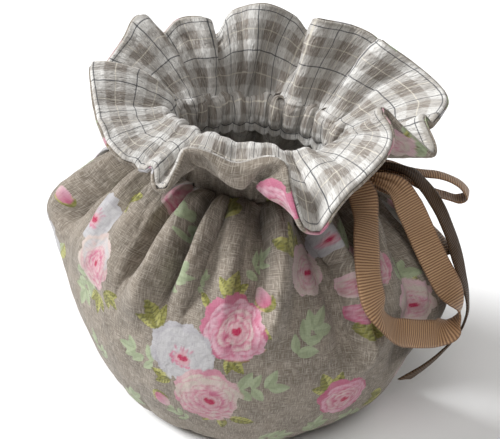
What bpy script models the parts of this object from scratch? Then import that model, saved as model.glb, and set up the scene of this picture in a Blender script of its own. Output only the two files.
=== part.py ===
"""Frilled drawstring tea cosy: a padded body with openings for spout and handle, a gathered
neck, a lined ruffle and a ribbon bow.

Metres, +Z up. The hem stands on z = 0, the front faces -Y, the spout opening -X and the handle
opening +X. Azimuths are degrees from +X, counter-clockwise seen from above, so the front is at
270. Sizes and tables are in millimetres. "climb" runs from 0 at the hem to 1 at the neck seam.
"""

import math

import bmesh
import bpy
import numpy as np

MM = 0.001
OBJECT_NAME = "tea_cosy"

# Cloth thicknesses and the gaps between pieces.
BODY_THICKNESS = 2.4
FRILL_THICKNESS = 1.2
RIBBON_THICKNESS = 1.0
RIBBON_WIDTH = 12.0
PIECE_GAP = 0.3
SIDE_SEAM_GAP = 0.5

# Heights of the body and the neck.
HEM_UPRIGHT = 2.5
CASING_FOOT = 107.0
NECK_SEAM = 110.2
CASING_TOP = 122.0
CASING_RADIUS = 38.4
SEAM_LEDGE = 2.6

# How finely the cloth is divided.
FRONT_COLUMNS = 56
BACK_COLUMNS = 42
FRILL_COLUMNS = 108
RIBBON_STEPS = 26


def table(columns, *rows):
    """A dict from each column's name to its values, one for each row."""
    return dict(zip(columns.split(), (np.array(values) for values in zip(*rows))))


# The body's side line, seen from the front, the handle side, the back and the spout side. The
# tents are how far the cloth is pushed out over the roots of the handle and the spout.
PROFILE = table(
    "height front handle back spout handle_tent spout_tent",
    (0, 57.5, 59.5, 56.5, 56, 0, 0),
    (6, 65.2, 65.4, 63, 61.6, 1, 1),
    (18, 72.4, 72.6, 68.6, 66.8, 3, 3),
    (38, 79, 78.2, 73.8, 73, 7, 7.5),
    (58, 78.2, 77.4, 72.8, 73, 18, 19),
    (72, 74.6, 73.6, 68.8, 72.6, 22, 24),
    (86, 66.6, 65.6, 62.8, 64.6, 18, 21),
    (98, 56.8, 55.8, 53.8, 54.8, 8, 12),
    (106, 47.8, 47.8, 46.5, 47, 2, 3),
    (110.5, 42.5, 42.5, 42, 42.5, 0, 0),
)
TENT_SHARPNESS = 10
CLIMBS = (0.05, 0.11, 0.19, 0.28, 0.37, 0.45, 0.53, 0.60, 0.67, 0.73, 0.79, 0.85, 0.90, 0.95)

# Folds that run down from the neck. Azimuths and half-widths are in degrees, at climbs of 0.95,
# 0.82 and 0.66; a height above 0 is a ridge and below 0 a valley; each fades out at "ends".
FOLD_STATIONS = (0.95, 0.82, 0.66)
FOLD_FADE = 0.16
FOLDS = table(
    "name top middle low width_top width_low height_top height_low ends",
    ("spout_crease", 206, 203.5, 204, 3.5, 4.5, -4.05, -3.62, 0.37),
    ("left_ridge", 218, 218, 220, 5, 6, 3.38, 2.17, 0.5),
    ("left_shoulder", 231, 232.5, 236, 4, 5, 4.73, 2.9, 0.51),
    ("deep_left_valley", 246, 241, 240.5, 3.5, 4.5, -6.08, -4.35, 0.45),
    ("front_left_ridge", 254, 251.5, 250, 3.2, 4.5, 4.73, 3.19, 0.53),
    ("front_left_valley", 260.5, 258.5, 257, 2.8, 3.5, -3.38, -1.45, 0.61),
    ("narrow_ridge", 265, 267, 268.5, 3, 4, 3.38, 2.17, 0.61),
    ("narrow_valley", 270.5, 271.5, 272, 2.8, 3, -2.97, -1.45, 0.65),
    ("middle_ridge", 276, 276.5, 277, 3.2, 4, 3.38, 2.17, 0.63),
    ("broad_valley", 286.5, 285, 284, 4.5, 5.5, -5.67, -3.19, 0.57),
    ("light_ridge", 296, 295, 291.5, 3.5, 4.5, 4.05, 2.9, 0.53),
    ("right_valley", 304, 302.5, 301, 3.5, 4.5, -3.38, -2.9, 0.53),
    ("deep_right_valley", 312.5, 314.5, 316.5, 3.2, 3.8, -4.73, -4.35, 0.43),
    ("long_ridge", 321, 321.5, 320, 4.2, 5, 6.75, 7.25, 0.25),
    ("right_hollow", 331, 328, 325.5, 3.2, 3.6, -4.05, -2.9, 0.41),
    ("handle_ridge", 341, 335.5, 330, 3.8, 4.5, 4.05, 3.62, 0.39),
    ("handle_crease", 351, 346, 342.5, 3.5, 4, -4.05, -4.35, 0.31),
    ("back_handle_crease", 15, 14, 13, 3.5, 4.5, -4.05, -3.62, 0.37),
    ("back_ridge_1", 26, 25, 24, 4, 5, 4.73, 3.62, 0.45),
    ("back_valley_1", 36, 36, 37, 3.5, 4.5, -4.73, -2.9, 0.51),
    ("back_ridge_2", 46, 45, 44, 4, 5.5, 5.4, 4.35, 0.39),
    ("back_valley_2", 56, 57, 58, 3.5, 5, -5.4, -4.35, 0.45),
    ("back_ridge_3", 66, 66, 65, 3.8, 4.5, 4.05, 2.9, 0.53),
    ("back_valley_3", 75, 75, 76, 3.2, 4, -3.78, -2.17, 0.57),
    ("back_ridge_4", 84, 83, 82, 4, 5.5, 5.4, 5.08, 0.31),
    ("back_valley_4", 94, 95, 96, 4, 5, -5.67, -4.35, 0.47),
    ("back_ridge_5", 104, 104, 104, 3.8, 4.5, 4.05, 2.9, 0.55),
    ("back_valley_5", 113, 114, 115, 3.5, 4.5, -4.32, -2.9, 0.51),
    ("back_ridge_6", 123, 122, 121, 4, 5, 5.4, 4.35, 0.39),
    ("back_valley_6", 133, 134, 135, 3.5, 4.5, -4.86, -3.62, 0.49),
    ("back_ridge_7", 143, 142, 141, 4, 5, 4.32, 2.9, 0.51),
    ("back_valley_7", 153, 153, 154, 3.5, 4.5, -3.78, -2.9, 0.55),
    ("back_spout_crease", 165, 164, 163, 3.5, 4.5, -4.05, -3.62, 0.37),
)
NECK_PUFF = 2.2
NECK_PUFF_CLIMB = 0.93
NECK_PUFF_REACH = 0.10

# The hem puckers in at each of these azimuths and bulges between them.
HEM_PUCKERS = (15, 38, 58, 81, 103, 126, 150, 172, 198, 219, 235, 251, 268, 290, 313, 336, 345)
HEM_BULGE = 2.6
HEM_FADE = 13.0

# Lens-shaped openings in the side seams: the heights where they start and end, and half their
# width at the middle.
OPENINGS = table(
    "name azimuth bottom top half_width",
    ("handle", 0, 20, 103, 11.5),
    ("spout", 180, 30, 103, 18.0),
)

# Ruffle lobes, each with three places along its rim: start, middle and end. "bow" is how far the
# cloth arches up (or, below 0, sags) between the neck and the rim. Where a lobe starts at a
# smaller azimuth than the last one ended, the cloth doubles back under its neighbour.
LOBES = table(
    "name azimuth_1 azimuth_2 azimuth_3 reach_1 reach_2 reach_3 height_1 height_2 height_3 bow",
    ("right", 4, 18, 45, 74, 79, 61, 147, 147.5, 160, 2),
    ("back_right", 46, 61, 77, 67.5, 61, 50.5, 157, 161, 163, 2),
    ("back", 82, 107, 132, 63, 52, 63, 157, 165.5, 156, 3),
    ("left_back", 135, 147, 157, 56, 62, 66, 157.5, 156.5, 152, 2),
    ("horn", 163, 171, 182, 71, 70, 75, 157, 151, 139, 1),
    ("left_corner", 188, 194, 204, 71.5, 74.5, 73, 146, 143.5, 141.5, 2),
    ("left_low", 214, 225, 240, 72.5, 74, 75, 138, 133, 128, 0),
    ("front_left", 245, 251, 257, 67, 73, 78, 138, 134.5, 130, -1),
    ("front", 261, 277, 287, 68, 63, 67, 142, 140.5, 145, -9),
    ("flap", 297, 309, 328, 83.5, 78.5, 69, 125.5, 137, 150, 2),
    ("pocket", 333, 346, 357, 60, 77, 68, 155, 140, 148, -2),
)
CREST_REACH = 3.0
CREST_HEIGHT = 131.0
CREST_FRONT_RISE = 5.0
RIM_OVERHANG = 0.03

# Fine gathers: waves around the neck, and how strong they are at heights of the casing and then
# at parts of the way from its top to the rim.
GATHER_WAVES = table("waves share phase", (17, 0.34, 0.4), (24, 0.40, 2.1), (31, 0.26, 4.4))
CASING_STATIONS = (CASING_FOOT, NECK_SEAM, 116.0, CASING_TOP)
CASING_GATHERS = (0.25, 0.3, 1.1, 1.1)
FRILL_STATIONS = (0.0, 0.18, 0.38, 0.58, 0.79, 1.0)
FRILL_GATHERS = (1.2, 1.1, 0.7, 0.3, 0.1, 0.0)
BODY_GATHERS = 0.7
BODY_GATHER_CLIMB = 0.84

KNOT_CENTRE = (43.95, -6.5, 117.5)
KNOT_SIZE = (9.0, 14.0, 12.0)

# Ribbon routes: points down the middle, and the azimuth and upward tilt of the direction across
# the ribbon. "share" is the part of its full width that the ribbon has there.
ROUTE = "x y z across tilt share"
LONG_LOOP = table(
    ROUTE,
    (42.5, -13.7, 120.0, 15, 6, 0.32),
    (46.8, -18.0, 119.6, 15, 6, 0.75),
    (50.5, -22.0, 115.9, 15, 6, 1.00),
    (53.7, -27.5, 109.7, 35, -7, 1.00),
    (57.0, -38.5, 102.5, 37, -8, 1.00),
    (60.4, -46.5, 93.9, 39, -6, 1.00),
    (64.5, -50.5, 85.5, 43, 1, 1.00),
    (69.7, -50.5, 77.1, 78, -11, 1.00),
    (75.3, -46.0, 70.1, 92, 16, 1.00),
    (81.7, -41.0, 66.8, 111, 58, 1.00),
    (87.9, -36.0, 64.7, 118, 57, 1.00),
    (94.1, -30.5, 63.3, 114, 58, 1.00),
    (98.8, -26.5, 65.9, 99, 13, 1.00),
    (100.2, -24.0, 71.4, 89, -18, 1.00),
    (97.2, -21.5, 75.7, 62, 5, 1.00),
    (92.3, -19.5, 80.9, 31, 28, 1.00),
    (86.7, -17.5, 87.3, 30, 27, 1.00),
    (81.3, -15.5, 93.9, 30, 27, 1.00),
    (75.8, -13.5, 101.3, 30, 27, 1.00),
    (69.8, -13.0, 109.8, 32, 29, 1.00),
    (63.7, -12.5, 117.1, 33, 30, 0.80),
    (47.3, -10.7, 118.6, 37, 34, 0.32),
)
LONG_TAIL = table(
    ROUTE,
    (47.6, -6.6, 121.2, 68, 10, 0.32),
    (59.9, -3.0, 122.1, 68, -1, 0.55),
    (67.4, -2.5, 120.8, 66, -9, 0.80),
    (73.9, -2.0, 115.8, 69, -11, 1.00),
    (80.3, -1.5, 109.3, 69, -11, 1.00),
    (87.8, -2.0, 98.9, 68, -12, 1.00),
    (93.7, -2.5, 88.4, 67, -14, 1.00),
    (98.6, -3.5, 78.7, 68, -19, 1.00),
    (102.7, -6.5, 71.0, 76, -26, 1.00),
    (104.6, -11.5, 65.6, 82, -31, 1.00),
    (104.0, -16.5, 59.6, 85, -35, 1.00),
    (101.1, -22.5, 54.8, 84, -38, 1.00),
    (96.6, -27.0, 49.0, 81, -42, 1.00),
    (91.1, -31.0, 43.0, 78, -46, 1.00),
    (84.7, -34.5, 37.4, 74, -48, 1.00),
)
SHORT_LOOP = table(
    ROUTE,
    (45.6, -1.3, 120.8, 105, -8, 0.32),
    (58.5, 7.0, 118.6, 105, -8, 0.50),
    (65.8, 10.0, 115.9, 105, -8, 0.65),
    (72.8, 12.0, 114.9, 105, -8, 0.90),
    (78.9, 13.0, 115.1, 105, -8, 1.00),
    (84.7, 13.5, 114.2, 103, -8, 1.00),
    (90.6, 14.0, 111.4, 96, -5, 1.00),
    (93.8, 14.0, 107.1, 90, -4, 1.00),
    (90.4, 13.5, 104.7, 101, -8, 1.00),
    (84.6, 13.0, 105.1, 105, -8, 1.00),
    (78.2, 12.5, 106.1, 105, -8, 0.95),
    (70.7, 11.0, 108.6, 105, -8, 0.70),
    (63.1, 8.0, 112.8, 105, -8, 0.50),
    (47.4, -2.4, 115.9, 105, -8, 0.32),
)
SHORT_TAIL = table(
    ROUTE,
    (48.0, -6.7, 115.1, 74, -15, 0.32),
    (62.3, -3.5, 109.9, 74, -15, 0.55),
    (68.8, -1.0, 106.2, 80, -19, 0.75),
    (75.0, 0.5, 100.9, 82, -21, 0.90),
    (81.2, -0.5, 94.9, 74, -15, 1.00),
    (85.9, -2.5, 90.0, 60, -3, 1.00),
    (89.4, -5.5, 85.9, 56, -1, 1.00),
)

# How much longer the long tail's end is along one edge than the other.
TAIL_SLANT = 5.0

# Linear colours, roughness.
FINISHES = {
    "flower_print": ((0.36, 0.31, 0.25), 0.85),
    "check_lining": ((0.50, 0.47, 0.43), 0.85),
    "brown_ribbon": ((0.20, 0.11, 0.06), 0.55),
}


def bumps(distance, width):
    return np.exp(-((distance / width) ** 2))


def turn_difference(a, b):
    """a - b in degrees, between -180 and 180."""
    return (a - b + 180.0) % 360.0 - 180.0


def spline(knots, values, at):
    """A smooth curve through values at knots, read at the given places."""
    values = np.asarray(values, float)
    knots = np.asarray(knots, float)
    at = np.atleast_1d(np.asarray(at, float))
    slopes = np.gradient(values, knots, axis=0)
    index = np.clip(np.searchsorted(knots, at, side="right") - 1, 0, len(knots) - 2)
    step = knots[index + 1] - knots[index]
    t = (at - knots[index]) / step
    if values.ndim > 1:
        t, step = t[:, None], step[:, None]
    start = (2 * t**3 - 3 * t**2 + 1) * values[index] + (t**3 - 2 * t**2 + t) * step * slopes[index]
    end = (3 * t**2 - 2 * t**3) * values[index + 1] + (t**3 - t**2) * step * slopes[index + 1]
    return start + end


def chord_lengths(points):
    return np.concatenate([[0.0], np.cumsum(np.linalg.norm(np.diff(points, axis=0), axis=1))])


def gathers(azimuth):
    """The uneven waves of gathered cloth around the neck, between about -1 and 1."""
    angle = np.radians(azimuth)
    waves = zip(GATHER_WAVES["waves"], GATHER_WAVES["share"], GATHER_WAVES["phase"])
    return sum(share * np.cos(count * angle + phase) for count, share, phase in waves)


# ------------------------------------------------------------------------------ the body


def profile_at(climb, column):
    along = chord_lengths(np.stack([PROFILE["height"], PROFILE["front"]], axis=1))
    return spline(along / along[-1], PROFILE[column], climb)


def profile_normal(climb):
    """The outward direction of the body's side line, as (radial, upward) parts."""
    step = 0.01
    low, high = np.maximum(climb - step, 0), np.minimum(climb + step, 1)
    radial = profile_at(high, "front") - profile_at(low, "front")
    upward = profile_at(high, "height") - profile_at(low, "height")
    size = np.hypot(radial, upward)
    return upward / size, -radial / size


def fold_relief(azimuth, climb):
    """How far the folds lift the cloth at each point."""
    relief = np.zeros_like(azimuth)
    top, middle, low = FOLD_STATIONS
    for row in zip(*(FOLDS[name] for name in list(FOLDS)[1:])):
        top_az, middle_az, low_az, width_top, width_low, height_top, height_low, ends = row
        heights = (2 * low - middle, low, middle, top)
        run = np.interp(climb, heights, (2 * low_az - middle_az, low_az, middle_az, top_az))
        share = np.clip((climb - low) / (top - low), 0, 1)
        width = width_low + (width_top - width_low) * share
        height = height_low + (height_top - height_low) * share
        fade = np.clip((climb - ends) / FOLD_FADE, 0, 1)
        fade = fade * fade * (3 - 2 * fade)
        relief += height * fade * bumps(turn_difference(azimuth, run), width)
    return relief


def hem_relief(azimuth, height):
    """Bulges of the hem between its puckers, which die out up the wall."""
    puckers = np.array(HEM_PUCKERS + (HEM_PUCKERS[0] + 360,), float)
    around = (azimuth - puckers[0]) % 360 + puckers[0]
    index = np.clip(np.searchsorted(puckers, around, side="right") - 1, 0, len(HEM_PUCKERS) - 1)
    share = (around - puckers[index]) / (puckers[index + 1] - puckers[index])
    bulge = np.sqrt(np.sin(math.pi * np.clip(share, 0, 1))) - 0.7
    return HEM_BULGE * bulge * np.exp(-height / HEM_FADE)


def body_points(azimuth, climb):
    """The middle of the body's cloth, in millimetres."""
    angle = np.radians(azimuth)
    across, along = np.cos(angle), np.sin(angle)
    side = np.where(across > 0, profile_at(climb, "handle"), profile_at(climb, "spout"))
    face = np.where(along > 0, profile_at(climb, "back"), profile_at(climb, "front"))
    tent = np.where(across > 0, profile_at(climb, "handle_tent"), profile_at(climb, "spout_tent"))
    reach = side * across**2 + face * along**2 + tent * np.abs(across) ** TENT_SHARPNESS
    height = profile_at(climb, "height")
    relief = fold_relief(azimuth, climb)
    relief += NECK_PUFF * bumps(climb - NECK_PUFF_CLIMB, NECK_PUFF_REACH)
    gathered = np.clip((climb - BODY_GATHER_CLIMB) / (1 - BODY_GATHER_CLIMB), 0, 1)
    relief += BODY_GATHERS * gathered * gathers(azimuth)
    outward, upward = profile_normal(climb)
    radius = reach + relief * outward + hem_relief(azimuth, height)
    height = height + relief * upward
    return np.stack([radius * across, radius * along, height], axis=-1)


def ring_points(azimuth, radius, height):
    angle = np.radians(azimuth)
    height = np.broadcast_to(height, np.shape(azimuth))
    return np.stack([radius * np.cos(angle), radius * np.sin(angle), height], axis=-1)


def seam_radius(azimuth):
    """Where the body's top edge stops, just outside the casing."""
    face = CASING_RADIUS + CASING_GATHERS[1] * gathers(azimuth)
    return face + PIECE_GAP / 2 + FRILL_THICKNESS + PIECE_GAP


def opening_half_width(height, opening):
    bottom, top = OPENINGS["bottom"][opening], OPENINGS["top"][opening]
    share = np.clip((height - bottom) / (top - bottom), 0, 1)
    return OPENINGS["half_width"][opening] * np.sin(math.pi * share) ** 0.8


def edge_angle(climb, opening):
    """Half the angle that an opening takes out of the wall at this climb, in degrees."""
    height = profile_at(climb, "height")
    side = ("handle", "spout")[opening]
    reach = profile_at(climb, side) + profile_at(climb, side + "_tent")
    half = opening_half_width(height, opening) + SIDE_SEAM_GAP / 2
    return np.degrees(np.arcsin(np.clip(half / reach, 0, 0.9)))


def panel_rows(start, end, start_opening, end_opening, columns):
    """Rows of points up one panel, between the side edges at azimuths start and end."""
    share = np.linspace(0, 1, columns + 1)

    def azimuths(climb):
        climb = np.full_like(share, climb)
        first = start + edge_angle(climb, start_opening)
        last = end - edge_angle(climb, end_opening)
        return first + (last - first) * share

    foot = body_points(azimuths(0.0), np.zeros_like(share))
    rows = [foot, foot + (0, 0, HEM_UPRIGHT)]
    rows += [body_points(azimuths(climb), np.full_like(share, climb)) for climb in CLIMBS]
    neck = azimuths(1.0)
    rows += [ring_points(neck, seam_radius(neck) + ledge, NECK_SEAM) for ledge in (SEAM_LEDGE, 0)]
    return np.array(rows)


# ----------------------------------------------------------------------------- the frill


def rim_points():
    """The ruffle's rim: evenly spaced columns, each with its azimuth, reach, height and bow."""
    lobes = LOBES
    knots = []
    for i in range(len(lobes["name"])):
        for place in ("1", "2", "3"):
            keys = ("azimuth_", "reach_", "height_")
            knots.append([lobes[key + place][i] for key in keys] + [lobes["bow"][i]])
    knots = np.array(knots, float)
    before, after = knots[-3:].copy(), knots[:3].copy()
    before[:, 0] -= 360
    after[:, 0] += 360
    knots = np.vstack([before, knots, after])
    angle = np.radians(knots[:, 0])
    place = np.stack([knots[:, 1] * np.cos(angle), knots[:, 1] * np.sin(angle), knots[:, 2]], axis=1)
    along = chord_lengths(place)
    fine = spline(along, knots, np.linspace(along[3], along[-3], 2000))
    angle = np.radians(fine[:, 0])
    place = np.stack([fine[:, 1] * np.cos(angle), fine[:, 1] * np.sin(angle), fine[:, 2]], axis=1)
    length = chord_lengths(place)
    share = np.linspace(0, length[-1], FRILL_COLUMNS + 1)
    return np.stack([np.interp(share, length, fine[:, k]) for k in range(4)], axis=1)


def neck_azimuths(rim):
    """Where each column of the ruffle meets the casing: even along the cloth, under the rim."""
    even = np.linspace(0, 360, len(rim))
    return even + np.mean((rim[:, 0] - even)[:-1])


def frill_rows(reach_share):
    """Rows of points from the casing's foot to the given part of the way to the rim."""
    rim = rim_points()
    neck = neck_azimuths(rim)
    waves = gathers(neck)
    rows = []
    for height, strength in zip(CASING_STATIONS, CASING_GATHERS):
        rows.append(ring_points(neck, CASING_RADIUS + strength * waves, height))
    crest = CREST_HEIGHT - CREST_FRONT_RISE * np.sin(np.radians(neck))
    crest_reach = CASING_RADIUS + CREST_REACH
    middle_reach = (crest_reach + rim[:, 1]) / 2
    middle_height = (crest + rim[:, 2]) / 2 + 2 * rim[:, 3]
    for station, strength in zip(FRILL_STATIONS, FRILL_GATHERS):
        t = station * reach_share
        radius = (1 - t) ** 2 * crest_reach + 2 * t * (1 - t) * middle_reach + t**2 * rim[:, 1]
        height = (1 - t) ** 2 * crest + 2 * t * (1 - t) * middle_height + t**2 * rim[:, 2]
        azimuth = neck + (rim[:, 0] - neck) * t
        rows.append(ring_points(azimuth, radius + strength * waves, height))
    return np.array(rows)


# --------------------------------------------------------------------------- the ribbons


def ribbon_rows(route, steps, slant=0.0):
    """Two edges of a ribbon, as rows of points along it."""
    middle = np.stack([route["x"], route["y"], route["z"]], axis=1).astype(float)
    along = chord_lengths(middle)
    at = np.linspace(0, along[-1], steps + 1)
    centre = spline(along, middle, at)
    azimuth, tilt = np.radians(route["across"]), np.radians(route["tilt"])
    level = np.cos(tilt)
    across = np.stack([level * np.cos(azimuth), level * np.sin(azimuth), np.sin(tilt)], axis=1)
    across = spline(along, across, at)
    forward = np.gradient(centre, axis=0)
    forward /= np.linalg.norm(forward, axis=1)[:, None]
    across -= forward * np.sum(across * forward, axis=1)[:, None]
    across /= np.linalg.norm(across, axis=1)[:, None]
    half = np.interp(at, along, route["share"])[:, None] * RIBBON_WIDTH / 2
    first, second = centre - across * half, centre + across * half
    first[-1] += forward[-1] * slant / 2
    second[-1] -= forward[-1] * slant / 2
    return np.stack([first, second], axis=0)


# ---------------------------------------------------------------------- making the objects


def material(name):
    colour, roughness = FINISHES[name]
    made = bpy.data.materials.get(name) or bpy.data.materials.new(name)
    made.use_nodes = True
    shader = made.node_tree.nodes["Principled BSDF"]
    shader.inputs["Base Color"].default_value = (*colour, 1.0)
    shader.inputs["Roughness"].default_value = roughness
    shader.inputs["Metallic"].default_value = 0.0
    return made


def cloth(name, rows, finish, thickness, lift=0.0, side=0.0, closed=False):
    """A sheet through rows of points, lifted along its normals and given its thickness."""
    count_v, count_u = rows.shape[:2]
    shape = bmesh.new()
    bmesh.ops.create_grid(shape, x_segments=count_u - 1, y_segments=count_v - 1, size=1.0)
    for vertex in shape.verts:
        u = round((vertex.co.x + 1) / 2 * (count_u - 1))
        v = round((vertex.co.y + 1) / 2 * (count_v - 1))
        vertex.co = rows[v, u] * MM
    if closed:
        bmesh.ops.remove_doubles(shape, verts=shape.verts, dist=1e-6)
    shape.normal_update()
    normals = [vertex.normal.copy() for vertex in shape.verts]
    for vertex, normal in zip(shape.verts, normals):
        vertex.co += normal * lift * MM
    mesh = bpy.data.meshes.new(name)
    shape.to_mesh(mesh)
    shape.free()
    mesh.shade_smooth()
    made = bpy.data.objects.new(name, mesh)
    made.data.materials.append(material(finish))
    solid = made.modifiers.new("cloth thickness", "SOLIDIFY")
    solid.thickness = thickness * MM
    solid.offset = side
    return made


def body_panels():
    front = panel_rows(180, 360, 1, 0, FRONT_COLUMNS)
    back = panel_rows(0, 180, 0, 1, BACK_COLUMNS)
    return [
        cloth("front_panel", front, "flower_print", BODY_THICKNESS),
        cloth("back_panel", back, "flower_print", BODY_THICKNESS),
    ]


def frill_sheets():
    outside = frill_rows(1.0)
    inside = frill_rows(1.0 - RIM_OVERHANG)
    half_gap = PIECE_GAP / 2
    return [
        cloth("frill", outside, "flower_print", FRILL_THICKNESS, half_gap, 1.0, True),
        cloth("frill_lining", inside, "check_lining", FRILL_THICKNESS, -half_gap, -1.0, True),
    ]


def bow():
    """The ribbon's two loops, two tails and knot."""
    pieces = [
        ("ribbon_loop_long", LONG_LOOP, 3 * RIBBON_STEPS // 2, 0.0),
        ("ribbon_loop_short", SHORT_LOOP, RIBBON_STEPS, 0.0),
        ("ribbon_tail_long", LONG_TAIL, RIBBON_STEPS, TAIL_SLANT),
        ("ribbon_tail_short", SHORT_TAIL, RIBBON_STEPS // 2, 0.0),
    ]
    made = []
    for name, route, steps, slant in pieces:
        made.append(cloth(name, ribbon_rows(route, steps, slant), "brown_ribbon", RIBBON_THICKNESS))
    made.append(knot())
    return made


def knot():
    shape = bmesh.new()
    bmesh.ops.create_cube(shape, size=1.0)
    bmesh.ops.scale(shape, vec=[size * MM for size in KNOT_SIZE], verts=shape.verts)
    mesh = bpy.data.meshes.new("ribbon_knot")
    shape.to_mesh(mesh)
    shape.free()
    mesh.shade_smooth()
    made = bpy.data.objects.new("ribbon_knot", mesh)
    made.location = [value * MM for value in KNOT_CENTRE]
    made.data.materials.append(material("brown_ribbon"))
    rounded = made.modifiers.new("rounded", "SUBSURF")
    rounded.levels = rounded.render_levels = 2
    return made


def centre_on_origin(pieces, carrier):
    """Moves the carrier so that the whole object stands centred over the origin."""
    bpy.context.view_layer.update()
    graph = bpy.context.evaluated_depsgraph_get()
    corners = []
    for piece in pieces:
        evaluated = piece.evaluated_get(graph)
        corners += [evaluated.matrix_world @ vertex.co for vertex in evaluated.data.vertices]
    corners = np.array(corners)
    low, high = corners.min(axis=0), corners.max(axis=0)
    carrier.location.x = -(low[0] + high[0]) / 2
    carrier.location.y = -(low[1] + high[1]) / 2


def main():
    for old in list(bpy.data.objects):
        bpy.data.objects.remove(old)
    parts = bpy.data.collections.new(OBJECT_NAME)
    bpy.context.scene.collection.children.link(parts)
    carrier = bpy.data.objects.new(OBJECT_NAME + "_base", None)
    parts.objects.link(carrier)
    pieces = body_panels() + frill_sheets() + bow()
    for piece in pieces:
        parts.objects.link(piece)
        piece.parent = carrier
    centre_on_origin(pieces, carrier)


main()
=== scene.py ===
"""Looks of the frilled tea cosy: printed linen body and ruffle, checked lining, ribbed ribbon.

The sheets are the same surfaces as the solids, drawn finely and with deeper folds. Tables are in
millimetres and degrees, azimuth 0 is the handle side (+X), 180 the spout side and 270 the front.
Patterns are laid out on the flat cloth and travel with it through the folds.
"""

import math

import bpy
import numpy as np
from mathutils import Matrix, Vector


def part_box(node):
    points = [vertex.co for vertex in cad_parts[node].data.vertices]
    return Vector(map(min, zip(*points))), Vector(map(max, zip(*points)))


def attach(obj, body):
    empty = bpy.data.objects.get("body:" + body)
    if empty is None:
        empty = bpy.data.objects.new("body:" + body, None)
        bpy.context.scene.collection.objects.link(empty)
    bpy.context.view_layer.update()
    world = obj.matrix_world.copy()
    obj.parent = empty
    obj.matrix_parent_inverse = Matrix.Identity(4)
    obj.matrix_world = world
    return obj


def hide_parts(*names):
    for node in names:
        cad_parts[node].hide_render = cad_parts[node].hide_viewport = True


MM = 0.001
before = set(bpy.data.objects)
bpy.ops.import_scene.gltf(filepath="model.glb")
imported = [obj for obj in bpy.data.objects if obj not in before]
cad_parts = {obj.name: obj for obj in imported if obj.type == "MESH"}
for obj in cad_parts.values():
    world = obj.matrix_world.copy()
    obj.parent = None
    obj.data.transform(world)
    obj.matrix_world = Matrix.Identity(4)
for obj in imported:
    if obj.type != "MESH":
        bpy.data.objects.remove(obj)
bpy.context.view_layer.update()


def table(columns, *rows):
    """A dict from each column's name to its values, one for each row."""
    return dict(zip(columns.split(), (np.array(values) for values in zip(*rows))))


# ------------------------------------------------------------------ the shapes' own sizes

BODY_HALF = 1.2
FRILL_THICKNESS = 1.2
RIBBON_WIDTH = 12.0
RIBBON_HALF = 0.4
PIECE_GAP = 0.3
SEAM_GAP = 0.1
NECK_SEAM = 110.2
CASING_FOOT = 107.0
CASING_TOP = 122.0
CASING_RADIUS = 38.4

PROFILE = table(
    "height front handle back spout handle_tent spout_tent",
    (0, 57.5, 59.5, 56.5, 56, 0, 0),
    (6, 65.2, 65.4, 63, 61.6, 1, 1),
    (18, 72.4, 72.6, 68.6, 66.8, 3, 3),
    (38, 79, 78.2, 73.8, 73, 7, 7.5),
    (58, 78.2, 77.4, 72.8, 73, 18, 19),
    (72, 74.6, 73.6, 68.8, 72.6, 22, 24),
    (86, 66.6, 65.6, 62.8, 64.6, 18, 21),
    (98, 56.8, 55.8, 53.8, 54.8, 8, 12),
    (106, 47.8, 47.8, 46.5, 47, 2, 3),
    (110.5, 42.5, 42.5, 42, 42.5, 0, 0),
)
TENT_SHARPNESS = 10
FOLD_STATIONS = (0.95, 0.82, 0.66)
FOLD_FADE = 0.16
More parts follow.
